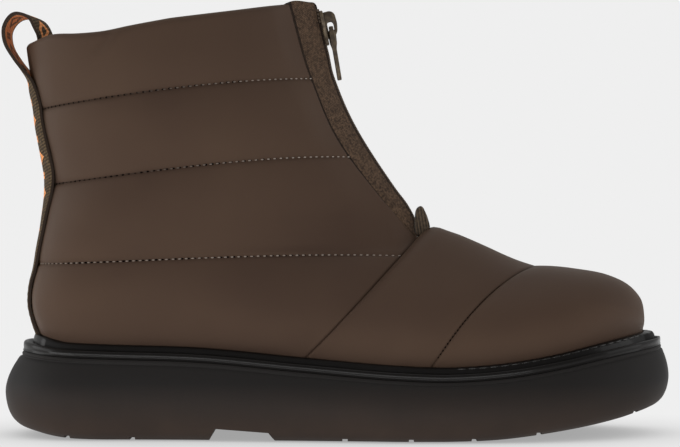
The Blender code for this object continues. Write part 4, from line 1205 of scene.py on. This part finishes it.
def zip_tape(name, side, finish):
    top_levels = np.linspace(TAPE_TOP_FROM, COLLAR, TAPE_TOP_ROWS)
    level = np.append(np.linspace(ZIP_FOOT, TAPE_TO, TAPE_ROWS), top_levels)
    edge = front_end(level + 1e-6, side)
    cloth_out = on_quarter(level, np.ones_like(level), side)[1]
    beside_chain, chain_out = chain_path(level, side * (CHAIN_HALF + GAP), -TAPE_SUNK, ZIP_SWELL)
    toward = unit(beside_chain - edge)
    under = unit(toward - cloth_out * (toward * cloth_out).sum(-1, keepdims=True))
    sewn_edge = edge - under * TAPE_TUCK - cloth_out * TAPE_RECESS
    below_top = runs(beside_chain, 0)[-1] - runs(beside_chain, 0)
    reach = np.clip(1 - below_top / TAPE_ROUND, 0, 1)
    free_edge = beside_chain - toward * (TAPE_ROUND * (1 - np.sqrt(1 - reach**2)))[:, None]
    share = np.linspace(0, 1, TAPE_COLUMNS)[None, :, None]
    arc = np.sin(math.pi * share)
    facing = unit(cloth_out[:, None] * (1 - share) + chain_out[:, None] * share)
    face = sewn_edge[:, None] * (1 - share) + free_edge[:, None] * share + facing * TAPE_CROWN * arc
    face[..., 2] += TAPE_TOP * reach[:, None] * hump(share[..., 0])
    back = face - facing * TAPE_THICK
    columns = share.ravel() * TAPE_WIDE
    across = np.concatenate([columns, columns[::-1], columns[:1]])
    return loft(name, np.concatenate([face, back[:, ::-1]], 1), [finish], across=across)


tape_twill = twill_finish("zip_tape_twill", rgb("2f231b"), rgb("6b5543"), 1.0, 0.2, (SEAM_SHADOW_BAND, TEETH_SHADOW_BAND))
for name, side in (("zip_tape_outer", -1), ("zip_tape_inner", 1)):
    wear(zip_tape(name + "_cloth", side, tape_twill), name)

# %% [markdown]
# The teeth are small moulded blocks that grip in turn from the left and from the right. The same sewing
# tree sets them along two paths, half a pitch apart. Above the slider the zip is open, and they stand
# on the tapes' edges.

# %% Zip teeth
SLIDER_LEVEL = 3.63
TOOTH_PITCH, TOOTH = 1.4, (1.25, 2.8, 2.2)
TEETH_Y, OPEN_Y = 1.15, 1.9
CLOSED_TO, OPEN_FROM, OPEN_TO = SLIDER_LEVEL + 0.05, SLIDER_LEVEL + 0.1, COLLAR - 0.12  # levels
CLOSED_POINTS, OPEN_POINTS = 1200, 30
brown_values = {"base_color": rgb("5a4b3e"), "roughness": 0.5, "specular_ior_level": 0.3}
tooth_brown = new_finish("moulded_teeth", **brown_values)[0]
teeth_rows = []
for side in (-1, 1):
    shift = 0.0 if side < 0 else TOOTH_PITCH / 2
    closed_part = np.linspace(ZIP_FOOT, CLOSED_TO, CLOSED_POINTS)
    line, facing = chain_path(closed_part, side * TEETH_Y, -CHAIN_DEPTH / 2, ZIP_SWELL)
    keep = runs(line, 0) >= shift
    teeth_rows.append((line[keep], facing[keep]))
    open_part = np.linspace(OPEN_FROM, OPEN_TO, OPEN_POINTS)
    teeth_rows.append(chain_path(open_part, side * OPEN_Y, -CHAIN_DEPTH / 2, ZIP_SWELL))
wear(sewn("zip_teeth", teeth_rows, TOOTH_PITCH, TOOTH, block, tooth_brown), "zip_chain")

# %% [markdown]
# Slider and pull are small castings. A flat outline with a bevel gives their plates, holes included,
# because Blender fills a closed flat curve by itself. The curve becomes a mesh before it is carried to
# its place, so that the finished piece sits at the origin. The pull hangs by its own body: its bar
# turns under the slider's bridge.

# %% Helpers for castings
PLATE_SHARP, PLATE_MERGE = 50, 0.005  # degrees of a sharp edge, and the distance of points that are one


def mirrored(half):
    """A whole outline from its half at one side."""
    half = np.array(half, float)
    return np.vstack([half, half[::-1] * (-1, 1)])


def filleted(corners, radius, steps=4):
    """An outline with its corners rounded off."""
    corners = np.asarray(corners, float)
    rows = []
    for before, corner, after in zip(np.roll(corners, 1, 0), corners, np.roll(corners, -1, 0)):
        ends = []
        for other in (before, after):
            length = np.linalg.norm(other - corner)
            ends.append(corner + (other - corner) * min(radius, length / 2.1) / length)
        for u in np.linspace(0, 1, steps + 1):
            rows.append((1 - u) ** 2 * ends[0] + 2 * u * (1 - u) * corner + u * u * ends[1])
    return np.array(rows)


def plate(name, outlines, thick, bevel, place, finish, fuller=None):
    """A flat plate with rounded edges from an outline and its holes. fuller scales its thickness."""
    curve = bpy.data.curves.new(name, "CURVE")
    curve.dimensions = "2D"
    curve.fill_mode = "BOTH"
    curve.extrude = (thick / 2 - bevel) * MM
    curve.bevel_depth = bevel * MM
    curve.bevel_resolution = 2
    curve.offset = -bevel * MM
    for line in outlines:
        spline = curve.splines.new("POLY")
        spline.points.add(len(line) - 1)
        corners = np.column_stack([line * MM, np.zeros(len(line)), np.ones(len(line))])
        spline.points.foreach_set("co", corners.ravel())
        spline.use_cyclic_u = True
    drawn = in_scene(name, curve)
    mesh = bpy.data.meshes.new_from_object(drawn.evaluated_get(bpy.context.evaluated_depsgraph_get()))
    bpy.data.objects.remove(drawn)
    work = bmesh.new()
    work.from_mesh(mesh)
    bmesh.ops.remove_doubles(work, verts=work.verts, dist=PLATE_MERGE * MM)
    bmesh.ops.recalc_face_normals(work, faces=work.faces)
    if fuller is not None:
        for vertex in work.verts:
            vertex.co.z *= fuller(vertex.co.y / MM)
    work.to_mesh(mesh)
    work.free()
    mesh.transform(place)
    mesh.materials.clear()
    mesh.materials.append(finish)
    mesh.shade_smooth()
    mesh.set_sharp_from_angle(angle=math.radians(PLATE_SHARP))
    return in_scene(name, mesh)


def one_piece(name, pieces):
    """Several meshes of one casting as one piece."""
    work = bmesh.new()
    for part in pieces:
        work.from_mesh(part.data)
    mesh = bpy.data.meshes.new(name)
    work.to_mesh(mesh)
    work.free()
    for material in pieces[0].data.materials:
        mesh.materials.append(material)
    for part in pieces:
        bpy.data.objects.remove(part)
    return in_scene(name, mesh)


def casting_finish():
    """Dull bronze plating, rubbed a little brighter in places."""
    material, tree, shader = new_finish("dull_bronze", metallic=0.4)
    place = object_place(tree)
    rubbed = spread(tree, mottle(tree, place, 380.0), 0.4, 0.75)
    feed(tree, shader.inputs["Base Color"], blend(tree, rubbed, rgb("473c31"), rgb("74654f")))
    feed(tree, shader.inputs["Roughness"], sums(tree, "MULTIPLY_ADD", rubbed, -0.15, 0.5))
    relief(tree, shader, mottle(tree, place, 1500.0), 0.03, 0.4)
    return material


bronze = casting_finish()

# %% The slider
SLIDER_TOP, SLIDER_BOTTOM = 7.5, -7.5
SLIDER_HALF_TOP, SLIDER_HALF_BOTTOM, SLIDER_WAIST = 5.2, 4.0, 3.6
SLIDER_BACK, SLIDER_FACE, SLIDER_CORNER = 0.4, 2.0, 1.8
POST_HALF, POST_DEPTH = 2.1, 3.0
BRIDGE = ((1.2, 6.7), (5.2, 6.9), (6.9, 5.4), (7.2, 1.0), (6.6, -2.6), (4.8, -4.8), (1.2, -5.0))  # out, up
BRIDGE_HOLE = ((2.8, 2.0), (4.8, 2.2), (5.5, 1.1), (5.4, -1.4), (4.6, -3.0), (2.8, -3.3))
BRIDGE_WIDE, BRIDGE_CORNER, HOLE_CORNER, POST_CORNER = 2.6, 1.2, 0.8, 0.5
SLIDER_BEVEL, BRIDGE_BEVEL = 0.5, 0.45


def zip_frame(level):
    """The zip's own axes at a level, as columns: out from the chain, across it, and up along it."""
    line, facing = chain_path(np.array([level - 0.01, level, level + 0.01]))
    out, up = Vector(facing[1]), Vector((-facing[1][2], 0, facing[1][0]))
    axes = Matrix((out, (0, 1, 0), up)).transposed().to_4x4()
    axes.translation = Vector(line[1]) * MM
    return axes


def flat_in(axes, out):
    """Place of a plate drawn as (across, up), at a distance out from the chain, in the given axes."""
    turn = Matrix(((0, 0, 1, out * MM), (1, 0, 0, 0), (0, 1, 0, 0), (0, 0, 0, 1)))
    return axes @ turn


def in_axes(axes, points):
    """Points given as (out, across, up) in millimetres, carried to the frame."""
    return np.array([axes @ (Vector(p) * MM) for p in points]) / MM


slider_axes = zip_frame(SLIDER_LEVEL)
shoulder = 2.5 * SLIDER_CORNER  # from each end to where the sides turn in
half_shield = (
    (SLIDER_HALF_TOP, SLIDER_TOP),
    (SLIDER_HALF_TOP, SLIDER_TOP - shoulder),
    (SLIDER_WAIST, SLIDER_BOTTOM + shoulder),
    (SLIDER_HALF_BOTTOM, SLIDER_BOTTOM),
)
shield = filleted(mirrored(half_shield), SLIDER_CORNER)
slider_middle, slider_thick = (SLIDER_BACK + SLIDER_FACE) / 2, SLIDER_FACE - SLIDER_BACK
shield_place = flat_in(slider_axes, slider_middle)
shield_plate = plate("slider_plate", [shield], slider_thick, SLIDER_BEVEL, shield_place, bronze)
on_edge = Matrix(((1, 0, 0, 0), (0, 0, -1, 0), (0, 1, 0, 0), (0, 0, 0, 1)))
bridge_outlines = [filleted(BRIDGE, BRIDGE_CORNER), filleted(BRIDGE_HOLE, HOLE_CORNER)]
bridge = plate("slider_bridge", bridge_outlines, BRIDGE_WIDE, BRIDGE_BEVEL, slider_axes @ on_edge, bronze)
post_ends = (SLIDER_BOTTOM + SLIDER_CORNER, SLIDER_TOP - SLIDER_CORNER)
post_corners = ((-POST_DEPTH, -1), (-POST_DEPTH, 1), (slider_middle, 1), (slider_middle, -1))
post_outline = filleted(np.array(post_corners) * (1, POST_HALF), POST_CORNER)
post_rows = [in_axes(slider_axes, [(o, y, up) for o, y in post_outline]) for up in post_ends]
post = loft("slider_post", post_rows, [bronze])
slider = one_piece("zip_slider_cast", [shield_plate, bridge, post])
wear(slider, "zip_slider")

# %% The pull
HINGE = (4.1, -0.8)  # out, up
PULL_LENGTH, PULL_HALF, PULL_THICK, PULL_CORNER = 22.6, 3.2, 1.6, 0.8
PULL_WINDOW = (1.0, 7.6, 1.7)  # near end, far end and half width of the opening that rides on the bridge
PULL_TIP_X = 2.3
PULL_BEVEL, WINDOW_CORNER = 0.4, 1.2
BLADE_FULLER, HEAD_FULLER = 1.2, 1.0  # the blade's thickness, and what its arms add, as shares
HEAD_COMES, HEAD_GOES = (0.8, 2.0), (4.75, 9.5)  # places between which the arms thicken and thin out

hinge = Vector(in_axes(slider_axes, [(HINGE[0], 0, HINGE[1])])[0])
fall = math.sqrt(PULL_LENGTH**2 - (PULL_TIP_X - hinge.x) ** 2)
down = Vector((PULL_TIP_X - hinge.x, 0, -fall)).normalized()
pull_axes = Matrix(((0, down.x, -down.z, 0), (1, 0, 0, 0), (0, down.z, down.x, 0), (0, 0, 0, 1)))
pull_axes.translation = hinge * MM
near_end, far_end, window_half = PULL_WINDOW
half_pull = (
    (PULL_HALF, -near_end),
    (PULL_HALF, far_end + near_end),
    (PULL_HALF - PULL_CORNER, PULL_LENGTH - 2 * PULL_CORNER),
    (PULL_HALF - PULL_CORNER, PULL_LENGTH),
)
half_window = ((window_half, near_end), (window_half, far_end))


def pull_fuller(along):
    head = ease(along, *HEAD_COMES) * (1 - ease(along, *HEAD_GOES))
    return BLADE_FULLER + HEAD_FULLER * float(head)


pull_outlines = [filleted(mirrored(half_pull), 2 * PULL_CORNER)]
pull_outlines.append(filleted(mirrored(half_window), WINDOW_CORNER))
pull = plate("zip_pull_tab", pull_outlines, PULL_THICK, PULL_BEVEL, pull_axes, bronze, pull_fuller)
wear(pull, "zip_pull", "zip_pull")

# %% [markdown]
# A folded scrap of ribbed webbing covers the lower end of the zip and stands up a little like a leaf.
# Its side outline is carried across and drawn in at both ends, so that its fold is soft.

# %% The tab at the foot of the zip
Corner = namedtuple("Corner", "x z")
TAB_OUTLINE = (
    Corner(36.6, 84.8),
    Corner(39.0, 86.6),
    Corner(41.2, 88.5),
    Corner(40.4, 92.6),
    Corner(39.2, 95.6),
    Corner(38.0, 97.7),
    Corner(36.6, 97.9),
    Corner(35.2, 96.2),
    Corner(34.7, 92.0),
    Corner(34.7, 86.4),
)
TAB_HALF, TAB_ROWS, TAB_DRAWN = 4.6, 17, 0.12
RIB_PITCH, RIB_TILT = 1.3, 0.15

tab_section = curve_through(TAB_OUTLINE, 4, closed=True)
tab_middle = tab_section.mean(0)
tab_rows = []
for across in np.linspace(-1, 1, TAB_ROWS):
    drawn_in = tab_middle + (tab_section - tab_middle) * (1 - TAB_DRAWN * across**8)
    tab_rows.append([(x, across * TAB_HALF, z) for x, z in drawn_in])


def ribbed_finish():
    """Ribs that run up the leaf, with flecks of lighter yarn."""
    material, tree, shader = new_finish("ribbed_tab", roughness=0.85, sheen_weight=0.15)
    shader.inputs["Specular IOR Level"].default_value = 0.25
    place = object_place(tree)
    parts = add(tree, "ShaderNodeSeparateXYZ", vector=place).outputs
    tilted = sums(tree, "MULTIPLY_ADD", parts[2], RIB_TILT, parts[0])
    ribs = ridges(tree, sums(tree, "DIVIDE", tilted, MM), RIB_PITCH)
    fleck = spread(tree, mottle(tree, place, 900.0, 2.0), 0.35, 0.7)
    share = sums(tree, "MULTIPLY_ADD", ribs, 0.6, sums(tree, "MULTIPLY", fleck, 0.5))
    feed(tree, shader.inputs["Base Color"], blend(tree, share, rgb("2b231d"), rgb("6a5a48")))
    relief(tree, shader, ribs, 0.3, 0.9)
    return material


wear(loft("zip_end_leaf", tab_rows, [ribbed_finish()]), "zip_end_tab")

# %% [markdown]
# One strip of woven webbing runs up the heel, leaves it as a pull loop and is sewn down inside the collar.
# The strip is a surface through a few rows: rows on the heel come from the cloth itself, and the loop's
# rows are drawn one by one. Its two faces show the two sides of the weave: bright figures on a dark ground,
# and the reverse inside.

# %% Woven webbing finish
WEB_DARK, WEB_LIGHT = rgb("1a120c"), rgb("6e5a40")
ORANGE, ORANGE_DEEP = rgb("ffb074"), rgb("dd8647")
WEBBING_HALF = 13.0
REPEAT = 16.0  # one lozenge and one pair of bars along the strip
LOZENGE = (8.2, 4.6)  # its half width and half length
LOZENGE_HOLE = 0.5
BAR_AT, BAR_HALF, BAR_REACH = 7.2, 0.7, 5.0
REVERSE_HALF = 0.8 * WEBBING_HALF  # half width of the bright ground on the reverse
WEB_RIB, WEB_TILT, WEB_YARN = 1.35, 0.15, 1.8  # pitch and slant of its ribs, and pitch of its yarns


def webbing_finish(name, reverse):
    material, tree, shader = new_finish(name, roughness=0.9, sheen_weight=0.03, specular_ior_level=0.1)
    across, along = cloth_place(tree)
    width = sums(tree, "ABSOLUTE", across)
    within = sums(tree, "PINGPONG", along, REPEAT / 2)
    sideways, lengthways = sums(tree, "DIVIDE", width, LOZENGE[0]), sums(tree, "DIVIDE", within, LOZENGE[1])
    diamond = sums(tree, "ADD", sideways, lengthways)
    lozenge = sums(tree, "LESS_THAN", diamond, 1.0)
    hole = sums(tree, "LESS_THAN", diamond, LOZENGE_HOLE)
    bar_row = sums(tree, "COMPARE", within, BAR_AT, BAR_HALF)
    bar = sums(tree, "MULTIPLY", bar_row, sums(tree, "LESS_THAN", width, BAR_REACH))
    figure = sums(tree, "MAXIMUM", sums(tree, "SUBTRACT", lozenge, hole), bar)
    if reverse:
        inner = sums(tree, "LESS_THAN", width, REVERSE_HALF)
        ground_share = sums(tree, "SUBTRACT", 1.0, sums(tree, "MULTIPLY", figure, 0.8))
        figure = sums(tree, "MULTIPLY", ground_share, inner)
    ribs = ridges(tree, sums(tree, "MULTIPLY_ADD", across, WEB_TILT, along), WEB_RIB)
    yarns = ridges(tree, across, WEB_YARN)
    fleck = spread(tree, mottle(tree, object_place(tree), 900.0, 1.0), 0.35, 0.7)
    share = sums(tree, "MULTIPLY_ADD", ribs, 0.5, sums(tree, "MULTIPLY", fleck, 0.5))
    ground = blend(tree, share, WEB_DARK, WEB_LIGHT)
    bright = blend(tree, share, ORANGE_DEEP, ORANGE)
    feed(tree, shader.inputs["Base Color"], blend(tree, figure, ground, bright))
    raised = sums(tree, "MULTIPLY_ADD", figure, 0.6, sums(tree, "MULTIPLY_ADD", yarns, 0.3, ribs))
    relief(tree, shader, raised, 0.22, 0.9)
    return material


# %% The heel webbing and its pull loop
WEBBING_THICK, WEBBING_GAP = 1.4, 0.36
WEBBING_LEVELS, INSIDE_LEVELS = (0.0, 3.28), (4.0, 3.7)
PULL_LOOP = (
    (-132.0, 152.2),
    (-134.4, 156.6),
    (-137.6, 161.5),
    (-140.8, 167.6),
    (-141.5, 173.8),
    (-139.2, 178.6),
    (-135.8, 180.4),
    (-130.8, 178.6),
    (-128.2, 174.2),
)
WEBBING_COLUMNS, EDGE_THIN = 15, 0.85
# For each row of the loop: how far both edges lie ahead of its middle, and the far edge of the near one.
LOOP_HOLLOW = (2.3, 1.0, 0.3, 0.0, 0.0, 0.0, 0.0, 0.0, 0.0)
LOOP_TWIST = (0.0, 0.0, 0.0, 0.0, 0.0, 0.6, 1.8, 3.2, 3.8)
TUCKED_TWIST = (2.8, 1.4, 0.5, 0.0)  # the same for the rows inside the collar
HEEL_ROWS, ROW_STEPS = 15, 6  # rows on the heel, and steps from each row to the next
EDGE_STITCH_IN, EDGE_SUNK = 2, 0.05  # columns in from the strip's edge, and how deep its thread lies
EDGE_PITCH, EDGE_STITCH = 3.0, (2.2, 0.5, 0.3)


def heel_row(level, lift):
    """A row across the webbing that lies on the heel, at a lift off the cloth."""
    loop = smooth(LOOPS, level)
    row = []
    for y in np.linspace(-WEBBING_HALF, WEBBING_HALF, WEBBING_COLUMNS):
        side = -1 if y < 0 else 1
        turn = math.asin((abs(y) / (loop.outer if side < 0 else loop.inner)) ** (loop.round / 2))
        place = np.array(HEEL_SHARE * turn / (math.pi / 2))
        inside = lift < 0
        base = -loop_puff(np.array(level), place) if inside else 0.0
        row.append(on_quarter(np.array(level), place, side, base + lift)[0])
    return row


webbing_lift = WEBBING_GAP + WEBBING_THICK / 2
up_heel = [heel_row(level, webbing_lift) for level in np.linspace(*WEBBING_LEVELS, HEEL_ROWS)]
columns_y = np.linspace(-WEBBING_HALF, WEBBING_HALF, WEBBING_COLUMNS)
far_share = (columns_y + WEBBING_HALF) / (2 * WEBBING_HALF)
over = []
for (x, z), twist, hollow in zip(PULL_LOOP, LOOP_TWIST, LOOP_HOLLOW):
    ahead = twist * far_share + hollow * (columns_y / WEBBING_HALF) ** 2
    over.append(np.column_stack([x + ahead, columns_y, np.full_like(columns_y, z)]))
inside_levels = np.linspace(*INSIDE_LEVELS, len(TUCKED_TWIST))
tucked_in = np.array([heel_row(level, -WALL - webbing_lift) for level in inside_levels])
tucked_in[..., 0] += np.outer(TUCKED_TWIST, far_share)
tucked_in = list(tucked_in)
webbing = curve_through(up_heel + over + tucked_in, ROW_STEPS)
length_way, width_way = np.gradient(webbing, axis=0), np.gradient(webbing, axis=1)
webbing_out = unit(np.cross(width_way, length_way))
webbing_out *= np.sign(-webbing_out[ROW_STEPS, WEBBING_COLUMNS // 2, 0])
thin = 1 - (1 - EDGE_THIN) * np.abs(np.linspace(-1, 1, WEBBING_COLUMNS)) ** 12
half_thick = (WEBBING_THICK / 2 * thin)[None, :, None]
face, back = webbing + webbing_out * half_thick, webbing - webbing_out * half_thick
across = np.concatenate([columns_y, columns_y[::-1], columns_y[:1]])
row_kinds = [0] * (WEBBING_COLUMNS - 1) + [2] + [1] * (WEBBING_COLUMNS - 1) + [2]
kinds = row_kinds * (len(webbing) - 1) + [2, 2]
# Painted shade: the strip's cut edges take a dark brown for the shade along them.
edge_painted_shade = new_finish("webbing_edge", base_color=rgb("32251b"), roughness=0.9)[0]
webs = [webbing_finish("webbing_face", False), webbing_finish("webbing_reverse", True), edge_painted_shade]
strip_rows = np.concatenate([face, back[:, ::-1]], 1)
strip = loft("heel_webbing_strip", strip_rows, webs, across=across, kinds=kinds)
wear(strip, "heel_webbing")
edge_thread = new_finish("webbing_thread", base_color=rgb("241d17"), roughness=0.7)[0]
sewn_rows = slice(2, ROW_STEPS * (HEEL_ROWS - 1))
edge_rows = []
for column in (EDGE_STITCH_IN, WEBBING_COLUMNS - 1 - EDGE_STITCH_IN):
    away = webbing_out[sewn_rows, column]
    edge_rows.append((face[sewn_rows, column] - away * EDGE_SUNK, away))
trim(sewn("webbing_stitches", edge_rows, EDGE_PITCH, EDGE_STITCH, bead, edge_thread))

# %% [markdown]
# Last comes the photographer's table: a pale floor that runs into an even backdrop, soft boxes at both
# sides and overhead, two small low ones before the boot and at its heel that bring out the sole and the
# welt, and a long lens square to the boot's side. The floor glows evenly, so the backdrop has no horizon,
# and near the boot its glow is dimmed into painted shade where the boot closes it off from above.

# %% Floor, light and camera
BACKDROP = 0.863
ROOM_FRONT, ROOM_BACK = 0.22, 0.5  # light of the room from before and from behind the boot
ROOM_TURN = (-0.8, 0.3)  # directions between which the one passes into the other
FLOOR_PAINTED_SHADE, SHADE_REACH = 0.36, 0.07  # darkest painted shade on the glowing floor, and how far from the boot it starts
FLOOR_HALF, FLOOR_DROP = 6000.0, 0.2  # its half side, and how far it lies under the tread
CAMERA_AT = (0.0024, -1.0, 0.0905)
PHOTO_WIDTH_MM = 294.17  # what the photo spans at the boot's middle
SENSOR = 36.0

for shape in (bead, block):
    bpy.data.objects.remove(shape)


def floor_finish():
    """A floor that glows as evenly as the backdrop, with painted shade only where the boot closes it off
    from above.
    """
    material = bpy.data.materials.new("pale_floor")
    material.use_nodes = True
    tree = material.node_tree
    tree.nodes.remove(tree.nodes["Principled BSDF"])
    open_sky = add(tree, "ShaderNodeAmbientOcclusion", {"samples": 12}, distance=SHADE_REACH).outputs["AO"]
    # Painted shade: the floor's glow is dimmed where the boot closes it off.
    strength = add(tree, "ShaderNodeMapRange", n0=open_sky, n3=FLOOR_PAINTED_SHADE, n4=BACKDROP).outputs[0]
    glow = add(tree, "ShaderNodeEmission", strength=strength).outputs[0]
    tree.links.new(glow, tree.nodes["Material Output"].inputs["Surface"])
    return material


def studio():
    """An even backdrop for the eye, and for the boot a room that is dim before it and bright behind it."""
    world = bpy.data.worlds.new("studio")
    world.use_nodes = True
    tree = world.node_tree
    seen = tree.nodes["Background"]
    seen.inputs["Color"].default_value = (BACKDROP, BACKDROP, BACKDROP, 1)
    around = tree.nodes.new("ShaderNodeTexCoord").outputs["Generated"]
    way = add(tree, "ShaderNodeSeparateXYZ", vector=around)
    steps = {"interpolation_type": "SMOOTHSTEP"}
    room = {"n1": ROOM_TURN[0], "n2": ROOM_TURN[1], "n3": ROOM_FRONT, "n4": ROOM_BACK}
    strength = add(tree, "ShaderNodeMapRange", steps, n0=way.outputs[1], **room).outputs[0]
    lit = add(tree, "ShaderNodeBackground", color=(1, 1, 1, 1), strength=strength).outputs[0]
    by_eye = tree.nodes.new("ShaderNodeLightPath").outputs["Is Camera Ray"]
    mixed = add(tree, "ShaderNodeMixShader", n0=by_eye, n1=lit, n2=seen.outputs[0]).outputs[0]
    tree.links.new(mixed, tree.nodes["World Output"].inputs["Surface"])
    return world


def soft_box(name, location, size, power, target=(0, 0, 0.08)):
    light = bpy.data.lights.new(name, "AREA")
    light.shape = "RECTANGLE"
    light.size, light.size_y = size
    light.energy = power
    box = in_scene(name, light)
    box.location = location
    box.rotation_euler = (Vector(target) - Vector(location)).to_track_quat("-Z", "Y").to_euler()


floor_plan = ((-1, -1), (1, -1), (1, 1), (-1, 1))
floor_corners = [(x * FLOOR_HALF, y * FLOOR_HALF, -FLOOR_DROP) for x, y in floor_plan]
make_piece("floor", floor_corners, [(0, 1, 2, 3)], [floor_finish()])
scene = bpy.context.scene
scene.world = studio()
soft_box("left_box", (-2.0, 0.1, 0.5), (1.6, 1.2), 12.0)
soft_box("heel_box", (-0.25, -0.12, 0.02), (0.12, 0.03), 0.05, (-0.12, -0.03, 0.03))
soft_box("low_box", (-0.05, -0.36, 0.02), (0.6, 0.04), 0.36, (0, 0, 0.03))
soft_box("right_box", (2.0, -0.2, 0.6), (1.4, 1.2), 6.0)
soft_box("top_box", (-0.2, 0.0, 2.2), (2.0, 1.4), 7.0)
lens = bpy.data.cameras.new("side_view")
lens.sensor_width = SENSOR
lens.lens = SENSOR * -CAMERA_AT[1] / (PHOTO_WIDTH_MM * MM)
camera = in_scene("side_view", lens)
camera.location = CAMERA_AT
camera.rotation_euler = (math.pi / 2, 0, 0)
scene.camera = camera
scene.view_settings.view_transform = "Standard"
print("lens:", round(lens.lens, 1), "mm")
